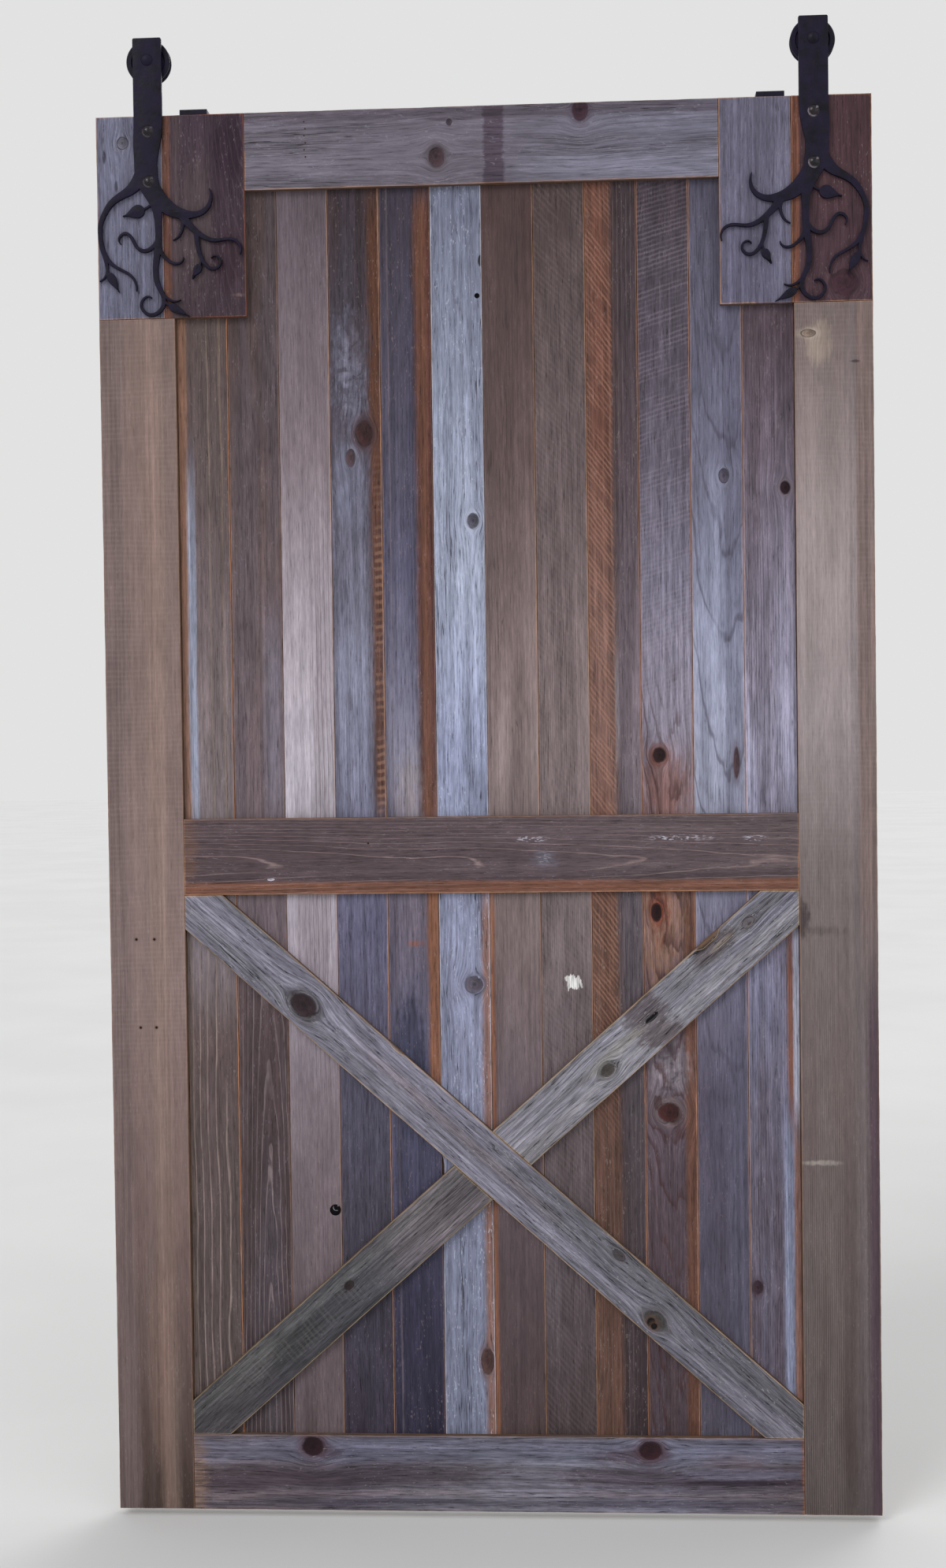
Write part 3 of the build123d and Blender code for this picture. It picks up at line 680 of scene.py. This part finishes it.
looks["brace_long"] = {
    **weatheredBoard, "contrast": 0.17, "tint": ((94, 94, 96), 0.5), "rings": (5, 60, 50, 0.02),
    "ringLines": ((80, 76, 84), 0.5), "flecks": 0.5, "fleckColour": (166, 166, 170), "rim": (158, 132, 104),
    "tones": [(-710, (132, 129, 144)), (0, (124, 122, 137)), (350, (110, 108, 120)), (710, (96, 93, 104))],
    "strips": [(-6, 12, (112, 92, 88), 0.35, 9, 26, (-300, 120, 90)), (-30, -12, (136, 134, 146), 0.4, 8, 24)],
    "knots": [((-7, -431), (18, 25), (50, 38, 42), (64, 58, 56), 2),
              ((-16, 388), (15, 20), (60, 56, 52), (72, 68, 64), 1.5, 0.8),
              ((27.6, 266), (8, 13), (54, 46, 46), (84, 80, 84), 0.9, 0.7)],
    "holes": [((-23, 384), 7), ((-25, 393), 5.5)], "shape": {"chips": [(1, -258, 14, 3.5)]},
}
looks["brace_upper"] = {
    **weatheredBoard, "contrast": 0.17, "tint": ((106, 104, 104), 0.5), "rings": (5, -60, 50, 0.02),
    "ringLines": ((88, 84, 88), 0.5), "flecks": 0.45, "fleckColour": (176, 174, 174), "rim": (160, 136, 106),
    "tones": [(0, (140, 137, 149)), (300, (144, 142, 154)), (710, (110, 109, 124))],
    "strips": [(-30, -12, (150, 147, 152), 0.5, 8, 18)],
    # the near-black patches at (38, 532) and (6.5, 379) are painted shade in the split along the chipped edge and in
    # the hollow
    "patches": [((8, 372), (60, 40), (86, 74, 78), 0.75, 0.25, 1.2), ((26, 545), (20, 46), (84, 74, 76), 0.7, 0.3),
                ((38, 532), (4.5, 34), (26, 20, 24), 0.9, 0.25, 1.2),
                ((22, 560), (4, 26), (138, 126, 116), 0.7, 0.3), ((6, 300), (12, 60), (158, 154, 148), 0.5, 0.5),
                ((6.5, 379), (5, 15), (14, 12, 14), 1, 0.15)],
    "knots": [((-10, 261), (10, 13), (60, 54, 50), (96, 92, 86), 2.2, 0.85),
              ((18, 612), (9, 13), (84, 74, 76), (98, 92, 96), 0.8, 0.5)],
    "shape": {"chips": [(1, 540, 24, 8)], "hollows": [((6.5, 379), (5, 15), 5), ((34, 540), (9, 30), 3)]},
}
looks["brace_lower"] = {
    **weatheredBoard, "contrast": 0.18, "tint": ((60, 60, 62), 0.5), "rings": (5, 60, 50, 0.02),
    "ringLines": ((56, 54, 58), 0.5), "flecks": 0.4, "fleckColour": (136, 136, 134), "rim": (136, 118, 92),
    "tones": [(-710, (76, 72, 76)), (-300, (73, 73, 79)), (-150, (122, 114, 120)), (0, (116, 108, 114))],
    "saw": (0, 9, (108, 104, 98), 0.2, -22, 20, 8, 12, (-580, -220, 60)),
    "strips": [(18, 36, (98, 98, 98), 0.5, 8, 16)],
    "patches": [((20, -560), (26, 90), (98, 96, 96), 0.5, 0.4), ((-4, -470), (22, 60), (54, 54, 56), 0.5, 0.4)],
    "knots": [((12, -330), (7, 10), (44, 36, 38), (66, 62, 64), 0.8)],
}
looks["field_board_01"] = {
    "contrast": 0.1, "grit": 0.7, "rings": (8, 70, 110, 0), "sway": 4, "ringFrom": 0.76,
    "ringLines": ((140, 124, 118), 0.95), "ringSpan": (-46, 46, 6, 0, (1300, 2500, 160)), "edges": (0.1, 0.9),
    "rim": (170, 116, 84),
    "tones": [(180, (106, 88, 84)), (700, (98, 84, 86)), (1100, (110, 99, 102)), (1420, (120, 112, 118)),
              (1600, (90, 76, 76)), (2438, (98, 86, 86))],
    "strips": [(7, 9, (134, 118, 104), 0.6, 1.5, 6, (150, 1250, 60)),
               (28, 31, (130, 112, 98), 0.6, 2, 6, (150, 1250, 60)),
               (-45, -29, (148, 110, 90), 0.8, 4, 4, (150, 1250, 40)),
               (-45, -36, (118, 104, 98), 0.6, 4, 4, (1300, 2500, 40)),
               (-32, -18, (150, 156, 178), 0.85, 3, 8, (640, 1250, 120))],
}
looks["field_board_02"] = {
    "contrast": 0.11, "grit": 0.75, "mottle": 0.8, "tint": ((92, 88, 98), 0.3), "rings": (7.5, 6, 100, -0.045),
    "ringFrom": 0.76, "ringLines": ((124, 110, 112), 0.85), "ringSpan": (-46, 46, 6, 0, (1300, 2500, 160)),
    "flecks": 0.2, "fleckColour": (150, 152, 168),
    "tones": [(180, (92, 74, 74)), (900, (92, 78, 80)), (1400, (100, 88, 94)), (1540, (76, 62, 64)),
              (2438, (78, 66, 70))],
    "strips": [(10, 40, (122, 124, 144), 0.35, 10, 16, (880, 1230, 100))],
}
looks["field_board_03"] = {
    "slot": "wood_rose", "contrast": 0.07, "grit": 0.65, "pits": 0.15, "tint": ((122, 108, 116), 0.35),
    "rings": (7, 130, 40, 0.01), "ringLines": ((98, 82, 84), 0.5), "ringSpan": (-4, 46, 6), "cracks": 0.25,
    "flecks": 0.1, "edges": (0.1, 0.5),
    "tones": [(180, (114, 101, 110)), (600, (134, 121, 128)), (1150, (164, 158, 168)), (1450, (148, 140, 150)),
              (1700, (123, 112, 119)), (2438, (98, 82, 84))],
}
looks["field_board_04"] = {
    "slot": "wood_dark", "contrast": 0.13, "grit": 0.95, "pits": 0.35, "tint": ((78, 74, 90), 0.35),
    "rings": (5, -20, 60, 0.02), "ringLines": ((66, 60, 72), 0.25), "edges": (0.1, 0.9), "rim": (164, 122, 98),
    "tones": [(180, (82, 66, 72)), (480, (88, 80, 92)), (1000, (122, 123, 142)), (1400, (92, 90, 112)),
              (2000, (78, 73, 86)), (2438, (56, 43, 60))],
    "saw": (6, 14, (160, 124, 104), 0.4, 30, 46, 3, 4, (650, 1250, 100)),
    "strips": [(24, 46, (94, 60, 44), 0.92, 7, 6, (150, 1230, 60)),
               (16, 22, (62, 50, 52), 0.4, 4, 5, (700, 1230, 60))],
    "patches": [((-10, 455), (26, 100), (116, 114, 132), 0.75, 0.3, 1.4),
                ((-12, 640), (26, 70), (124, 126, 148), 0.6, 0.5), ((10, 390), (20, 50), (84, 72, 80), 0.5, 0.4)],
    "wrinkles": [((-8, 440), (24, 80))],
    "knots": [((14.5, 555), (15, 22), (60, 38, 40), (84, 62, 66), 1.6),
              ((-9.4, 596), (8, 15), (76, 60, 66), (116, 114, 130), 1)],
}
looks["field_board_05"] = {
    "slot": "wood_dark", "contrast": 0.12, "grit": 0.8, "tint": ((60, 58, 78), 0.35), "rings": (5, 90, 40, 0),
    "ringLines": ((50, 46, 62), 0.2), "flecks": 0.35, "fleckColour": (150, 128, 128),
    "tones": [(180, (76, 68, 82)), (800, (88, 86, 106)), (1100, (112, 110, 126)), (1400, (94, 86, 98)),
              (1650, (80, 80, 102)), (2300, (52, 48, 68))],
    "strips": [(15, 46, (94, 60, 48), 0.92, 7, 8, (150, 1240, 40)),
               (24, 34, (114, 76, 56), 0.5, 6, 6, (150, 1730, 60)),
               (26, 46, (126, 84, 62), 0.9, 5, 7, (1240, 1730, 60)),
               (38, 46, (76, 38, 34), 0.5, 4, 6, (150, 1100, 100)), (-32, -29, (112, 100, 106), 0.4, 1.2, 3)],
    "patches": [((-10, 1650), (24, 110), (52, 54, 74), 0.7, 0.4), ((-4, 1180), (20, 60), (150, 136, 130), 0.4, 0.6),
                ((2, 1442), (10, 5), (140, 84, 60), 0.6, 0.8)],
}
looks["field_board_06"] = {
    "slot": "wood_silver", "contrast": 0.12, "fine": 400, "pits": 0.4, "tint": ((120, 124, 146), 0.4),
    "rings": (5, -6, 60, 0.02), "ringLines": ((104, 106, 124), 0.25), "cracks": 0.9, "flecks": 0.5,
    "fleckColour": (200, 204, 220), "edges": (0.5, 0.5), "rim": (196, 192, 200),
    "tones": [(180, (138, 142, 166)), (800, (160, 167, 188)), (1100, (130, 135, 160)), (1500, (126, 129, 152)),
              (2438, (144, 149, 174))],
    "strips": [(30, 46, (132, 90, 66), 0.8, 6, 7, (1350, 2500, 60))],
    "patches": [((42, 262), (3, 9), (16, 12, 18), 1, 0.2), ((-45, 1841), (4, 22), (12, 10, 12), 1, 0.12)],
    "knots": [((24, 709), (10, 13), (82, 80, 92), (168, 172, 192), 1.6),
              ((15.7, 1515), (15, 14), (88, 82, 94), (108, 108, 128), 1.7),
              ((30.5, 2177), (11, 22), (76, 56, 54), (108, 84, 84), 1.3)],
    "shape": {"chips": [(-1, 1841, 22, 3.5)]},
}
looks["field_board_07"] = {
    "contrast": 0.08, "grit": 0.6, "pits": 0.15, "tint": ((86, 70, 70), 0.35), "rings": (5, -120, 30, 0),
    "ringLines": ((80, 62, 60), 0.16), "flecks": 0.08, "edges": (0.1, 0.5),
    "tones": [(180, (94, 72, 72)), (600, (103, 86, 85)), (1100, (126, 112, 112)), (1450, (114, 100, 101)),
              (1700, (104, 92, 98)), (2438, (80, 62, 64))],
    "strips": [(-45, -37, (130, 84, 60), 0.8, 3, 4, (1350, 2500, 60))],
}
looks["field_board_08"] = {
    "contrast": 0.09, "grit": 0.75, "mottle": 0.75, "tint": ((90, 78, 80), 0.35), "rings": (3.4, 150, 30, 0),
    "sway": 3, "ringLines": ((78, 64, 64), 0.45), "flecks": 0.1, "edges": (0.1, 0.5),
    "tones": [(180, (98, 80, 80)), (600, (114, 99, 101)), (1100, (118, 105, 106)), (1700, (101, 90, 94)),
              (2050, (100, 90, 96)), (2438, (48, 28, 26))],
    "saw": (-48, 8, (124, 110, 110), 0.14), "patches": [((9.2, 1512), (11, 12), (240, 236, 232), 1, 0.12, 2.2)],
}
looks["field_board_09"] = {
    "slot": "wood_orange", "contrast": 0.12, "grit": 0.8, "tint": ((82, 74, 84), 0.35), "rings": (6.5, 110, 60, 0),
    "ringLines": ((116, 106, 104), 0.34), "edges": (0.3, 0.7), "rim": (156, 108, 78),
    "tones": [(180, (74, 54, 56)), (1000, (112, 100, 108)), (1450, (90, 82, 88)), (2438, (70, 54, 58))],
    "saw": (-54, 6.5, (164, 120, 100), 0.42, -46, 0, 3, 3, (150, 1700, 160)),
    "strips": [(-46, 0, (110, 73, 62), 0.94, 5, 6), (1, 8, (76, 56, 56), 0.5, 4, 4),
               (-46, 4, (140, 112, 104), 0.5, 5, 6, (750, 1250, 220)),
               (0, 6, (156, 152, 162), 0.6, 2.5, 5, (960, 1110, 50)),
               (-46, 0, (94, 72, 62), 0.6, 8, 8, (1350, 2500, 60))],
}
looks["field_board_10"] = {
    "slot": "wood_rose", "contrast": 0.16, "grit": 0.95, "mottle": 0.8, "tint": ((80, 70, 82), 0.35),
    "rings": (4.5, 12, 60, 0.05), "ringLines": ((70, 46, 46), 0.7), "ringSpan": (-46, 24, 6, 4, (950, 2500, 120)),
    "flecks": 0.12, "edges": (0.4, 0.8), "rim": (168, 122, 98),
    "tones": [(180, (84, 72, 82)), (800, (116, 112, 129)), (1070, (124, 118, 132)), (1300, (124, 96, 92)),
              (1650, (98, 84, 94)), (2438, (88, 72, 76))],
    "saw": (17, 8, (134, 122, 134), 0.27, -46, 46, 3, 0, (150, 1050, 100)),
    "strips": [(24, 46, (110, 73, 56), 0.8, 5, 7, (1350, 2500, 60))],
    "patches": [((-8, 1170), (38, 56), (128, 84, 72), 0.6, 0.5), ((-12, 1400), (30, 110), (146, 112, 92), 0.7, 0.5),
                ((-14, 1385), (16, 50), (112, 46, 30), 0.7, 0.6),
                ((-4, 1660), (30, 46), (146, 138, 146), 0.55, 0.6)],
    "wrinkles": [((-4, 1665), (26, 40))],
    "knots": [((-14.6, 1119), (11, 13), (40, 24, 26), (118, 70, 56), 2),
              ((-22, 1392), (9, 17), (36, 18, 20), (112, 56, 42), 1.6),
              ((-3.7, 1740), (18, 17), (62, 34, 34), (122, 106, 108), 2.3)],
}
looks["field_board_11"] = {
    "slot": "wood_silver", "contrast": 0.08, "grit": 0.7, "mottle": 0.8, "tint": ((92, 90, 108), 0.35),
    "rings": (11, 16, 60, 0.06), "ringFrom": 0.84, "ringLines": ((78, 74, 90), 0.6), "edges": (0.3, 0.3),
    "tones": [(180, (96, 90, 110)), (900, (134, 137, 158)), (1150, (146, 149, 168)), (1440, (112, 109, 128)),
              (1700, (82, 76, 92)), (2438, (90, 84, 98))],
    "strips": [(10, 46, (94, 92, 112), 0.45, 12, 14)],
    "knots": [((12, 640), (9, 13), (80, 74, 88), (118, 120, 140), 1.3),
              ((29, 1134), (5, 26), (72, 56, 62), (98, 90, 104), 0.9)],
}
looks["field_board_12"] = {
    "contrast": 0.15, "mottle": 0.9, "tint": ((96, 82, 90), 0.4), "rings": (4.2, -150, 30, 0), "sway": 4,
    "ringLines": ((62, 52, 64), 0.4), "edges": (0.4, 0.1),
    "tones": [(400, (94, 78, 88)), (700, (118, 110, 125)), (1100, (136, 134, 154)), (1500, (110, 109, 130)),
              (2438, (98, 91, 106))],
    "strips": [(24, 34, (136, 86, 62), 0.85, 3.5, 2, (1420, 1760, 80)),
               (34, 46, (190, 192, 212), 0.85, 3, 2, (1420, 1760, 80)),
               (16, 32, (134, 140, 166), 0.8, 4, 4, (1760, 2300, 80)),
               (33, 46, (142, 104, 90), 0.85, 3, 3, (1760, 2500, 80))],
    "knots": [((27.5, 663), (8.5, 11), (36, 20, 28), (116, 104, 112), 1.8),
              ((-32, 2045), (9, 12), (56, 40, 48), (78, 64, 76), 0.9)],
}
looks["backing_board_left"] = {"tones": [(180, (100, 84, 74))]}
looks["backing_board_right"] = {"tones": [(180, (96, 82, 74))]}
# painted light: gains on the field boards' colour down the door, high half way up and low near top and bottom, as the
# light fell; partly the boards' own tone
paintedLightGains = [(180, 0.8), (600, 0.975), (1000, 1.16), (1450, 1.11), (1900, 0.95), (2438, 0.8)]


def withPaintedLight(tones):  # painted light: the field boards are paler half way up and darker near top and bottom, as the light fell on them, partly their own tone
    places, gains = zip(*paintedLightGains)
    drops = sorted({*places, *(drop for drop, tone in tones)})
    own = [np.interp(drops, [drop for drop, tone in tones], [tone[i] for drop, tone in tones]) for i in range(3)]
    gains = np.interp(drops, places, gains)
    return [(drop, parts * gain) for drop, parts, gain in zip(drops, np.transpose(own), gains)]


backTones = [(112, 92, 76), (130, 110, 92), (92, 76, 64), (110, 98, 88), (122, 96, 74), (86, 72, 64), (118, 102, 90)]
for seed, (node, look) in enumerate(looks.items()):
    look["back"] = backTones[seed % len(backTones)]
    if node.startswith("field_board"):
        look["tones"] = withPaintedLight(look["tones"])
    plank(node, look, seed + 1)
print("boards ready")


# Ironwork and fittings
metalDefaults = {
    "dark": (6, 4, 15), "light": (25, 18, 43),
    "metallic": 0, "rough": (0.38, 0.6), "specular": 0.17,
    "dents": 0.5, "dentSize": 9, "grit": 0.15,
    "rust": (44, 34, 34), "rustAmount": 0.2,
    "paintedGlints": [],  # painted highlights: middle (x, z) and radius of a domed head, with a bright crescent on its lower left rim and a glint on its upper right, then amount
    # colour of the painted highlights
    "glintColour": (176, 162, 172),
}


def metalMaterial(name, look):
    look = {**metalDefaults, **look}
    material, shade = newMaterial(name)
    place = shade.node("ShaderNodeTexCoord", {}, {}, "Object")
    dents = place.noise([1000 / look["dentSize"]] * 3, 1.3, 1)
    cloudy = place.noise([42] * 3, 2.6, 4, 0.6)
    fine = place.noise([1100] * 3, 3.9, 3, 0.6)
    colour = (cloudy * 0.6 + fine * 0.4).step(0.36, 0.62).mix(paint(look["dark"]), paint(look["light"]))
    stained = place.noise([90] * 3, 5.2, 4, 0.65).step(0.55, 0.7) * look["rustAmount"]
    colour = colour.cover(paint(look["rust"]), stained)
    x, _, z = place.split()
    # painted highlights on domed heads: a bright crescent on the lower left of the rim and a glint on the upper right
    for middle, radius, amount in look["paintedGlints"]:
        dx, dz = (x - middle[0]) / radius, (z - middle[1]) / radius
        distance = dx.hypot(dz)
        litCrescent = abs(distance - 0.9).step(0.2, 0.05) * (dx * -0.7 - dz * 0.7).step(0.1, 0.6)
        glint = (abs(dx * 0.7 - dz * 0.7) + abs(dx * 0.4 + dz * 0.4 - 0.45)).step(0.3, 0.15)
        colour = colour.cover(paint(look["glintColour"]), (litCrescent + glint) * fine.step(0.35, 0.6) * amount)
    smooth, dull = look["rough"]
    rough = cloudy.step(0.3, 0.7) * (dull - smooth) + smooth + stained * 0.2
    height = dents * look["dents"] + fine * look["grit"]
    bump = shade.node("ShaderNodeBump", {}, {"Strength": 0.8, "Distance": mm, "Height": height})
    finishMaterial(shade, {"Base Color": colour, "Roughness": rough, "Metallic": look["metallic"], "Normal": bump,
                           "Specular IOR Level": look["specular"]})
    return material


fillerGlint = (35, 1906)  # as a place on the third field board
low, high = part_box("field_board_03")
fillerPlace = ((low.x + high.x) / 2 + fillerGlint[0] * mm, (doorTop - fillerGlint[1]) * mm)
low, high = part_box("hanger_bolts")
headRadius = 10.5 * mm
headRows = [[low[axis] + headRadius, high[axis] - headRadius] for axis in (0, 2)]
# painted highlights on the hanger bolt heads, fainter on the left hanger
boltGlints = [((x, z), headRadius, amount) for x, amount in zip(headRows[0], (0.2, 0.6)) for z in headRows[1]]
metals = {
    "iron": {},
    "bolt_iron": {"dark": (6, 4, 10), "light": (30, 22, 30), "rough": (0.12, 0.2), "specular": 0.3, "dents": 0.3,
                  "dentSize": 6, "rustAmount": 0.1, "paintedGlints": boltGlints},
    "zinc": {"dark": (150, 150, 150), "light": (186, 188, 190), "metallic": 1, "rough": (0.28, 0.45), "dents": 0.05,
             "rustAmount": 0.05},
    "screw_steel": {"dark": (96, 94, 90), "light": (140, 136, 128), "metallic": 1, "rough": (0.3, 0.5),
                    "dents": 0.05, "rustAmount": 0.3},
    "bearing_steel": {"dark": (176, 178, 182), "light": (206, 208, 212), "metallic": 1, "rough": (0.12, 0.22),
                      "dents": 0, "grit": 0.02, "rustAmount": 0},
    "cage_brass": {"dark": (170, 130, 66), "light": (202, 164, 92), "metallic": 1, "rough": (0.25, 0.4),
                   "dents": 0, "grit": 0.05, "rust": (110, 84, 50), "rustAmount": 0.3},
    # glossy black knot filler, with one painted glint at fillerGlint
    "filler": {"dark": (2, 2, 6), "light": (6, 6, 10), "rough": (0.06, 0.12), "specular": 0.08, "dents": 0.9,
               "dentSize": 14, "grit": 0, "rustAmount": 0, "paintedGlints": [(fillerPlace, 6 * mm, 0.7)]},
}
metalMaterials = {name: metalMaterial(name, look) for name, look in metals.items()}
for node, piece in sorted(frame["nodes"].items()):
    given = piece.data.materials[0].name.split(".")[0]
    if given in metals and not piece.hide_render:
        piece.data.materials[0] = metalMaterials["bolt_iron" if node == "hanger_bolts" else given]

hangerShape = {"round": 0.9, "steps": 3}


def shellOf(mesh):  # a mesh to work on, with its double points joined
    shell = bmesh.new()
    shell.from_mesh(mesh)
    bmesh.ops.remove_doubles(shell, verts=shell.verts, dist=1e-6)
    return shell


def hanger(node):  # a plate of the CAD hanger's outline with rounded edges
    low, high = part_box(node)
    shell = shellOf(frame["nodes"][node].data)
    front = {face for face in shell.faces if max(vert.co.y for vert in face.verts) < low.y + 0.01 * mm}
    loops = loopsOf([edge for edge in shell.edges if len(front.intersection(edge.link_faces)) == 1])
    curve = bpy.data.curves.new(node, "CURVE")
    curve.dimensions, curve.fill_mode = "2D", "BOTH"
    edge = hangerShape["round"] * mm
    curve.extrude, curve.offset = (high.y - low.y) / 2 - edge, -edge
    curve.bevel_depth, curve.bevel_resolution = edge, hangerShape["steps"]
    for loop in loops:
        spline = curve.splines.new("POLY")
        spline.points.add(len(loop) - 1)
        for point, vert in zip(spline.points, loop):
            point.co = (vert.co.x, vert.co.z, 0, 1)
        spline.use_cyclic_u = True
    shell.free()
    outline = newObject(node, curve)
    mesh = bpy.data.meshes.new_from_object(outline.evaluated_get(bpy.context.evaluated_depsgraph_get()))
    bpy.data.objects.remove(outline)
    shell = shellOf(mesh)
    for vert in shell.verts:
        x, z, y = vert.co
        vert.co = (x, (low.y + high.y) / 2 + y, z)
    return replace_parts(addPiece("forged_" + node, shell, "leaf", metalMaterials["iron"]), node)


leftHanger = hanger("hanger_left")
mirrored = bmesh.new()
mirrored.from_mesh(leftHanger.data)
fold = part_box("hanger_left")[0].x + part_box("hanger_right")[1].x
for vert in mirrored.verts:
    vert.co.x = fold - vert.co.x
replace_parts(addPiece("forged_hanger_right", mirrored, "leaf", metalMaterials["iron"]), "hanger_right")
print("ironwork ready")


# Plain pale floor and soft studio light
stage = {"gap": 12, "reach": 40, "floor": (217, 221), "walls": 226, "glow": 0.66}  # mm, m and grey tones
floorZ, reach = cadBox[0].z - stage["gap"] * mm, stage["reach"]
floorMesh = bpy.data.meshes.new("floor")
floorMesh.from_pydata([(x * reach, y * reach, floorZ) for x, y in ((-1, -1), (1, -1), (1, 1), (-1, 1))], [],
                      [(0, 1, 2, 3)])
floor = newObject("floor", floorMesh)
floorMaterial, shade = newMaterial("floor")
place = shade.node("ShaderNodeTexCoord", {}, {}, "Object")
pale = place.noise((1.5,) * 3, 1, 3).step(0.3, 0.7).mix(*[paint([tone] * 3) for tone in stage["floor"]])
finishMaterial(shade, {"Base Color": pale, "Roughness": 0.9, "Specular IOR Level": 0.2})
floorMesh.materials.append(floorMaterial)

world = bpy.data.worlds.new("studio")
bpy.context.scene.world = world
world.use_nodes = True
world.node_tree.nodes.clear()
shade = Shade(world.node_tree)
seen = 0
for kind in ("Is Camera Ray", "Is Glossy Ray", "Is Transmission Ray"):
    seen = seen + shade.node("ShaderNodeLightPath", {}, {}, kind)
pale = shade.node("ShaderNodeBackground", {}, {"Color": paint([stage["walls"]] * 3), "Strength": 1.0})
light = shade.node("ShaderNodeBackground", {}, {"Color": (1, 1, 1, 1), "Strength": stage["glow"]})
mixed = shade.node("ShaderNodeMixShader", {}, {0: seen, 1: light, 2: pale})
shade.node("ShaderNodeOutputWorld", {}, {"Surface": mixed})

lamps = {  # direction it shines from, strength, how wide it looks in degrees
    "key": ((-0.75, -1.0, 0.8), 1.1, 28),
    "fill": ((0.9, -1.0, 0.35), 0.35, 50),
    "rear": ((0.5, 1.0, 0.6), 1.0, 40),
}
for name, (side, strength, width) in lamps.items():
    lamp = bpy.data.lights.new(name, "SUN")
    lamp.energy, lamp.angle = strength, math.radians(width)
    newObject(name, lamp).rotation_euler = Vector(side).to_track_quat("Z", "Y").to_euler()

view = {"place": (0.18249, -3.48342, -1.13806), "turn": (88.5324, 0.7546, 3.4117), "lens": 46.108, "sensor": 36}
camera = newObject("camera", bpy.data.cameras.new("camera"))
camera.location = view["place"]
camera.rotation_euler = [math.radians(angle) for angle in view["turn"]]
camera.data.lens, camera.data.sensor_width = view["lens"], view["sensor"]
bpy.context.scene.camera = camera
bpy.context.scene.view_settings.view_transform = "Standard"
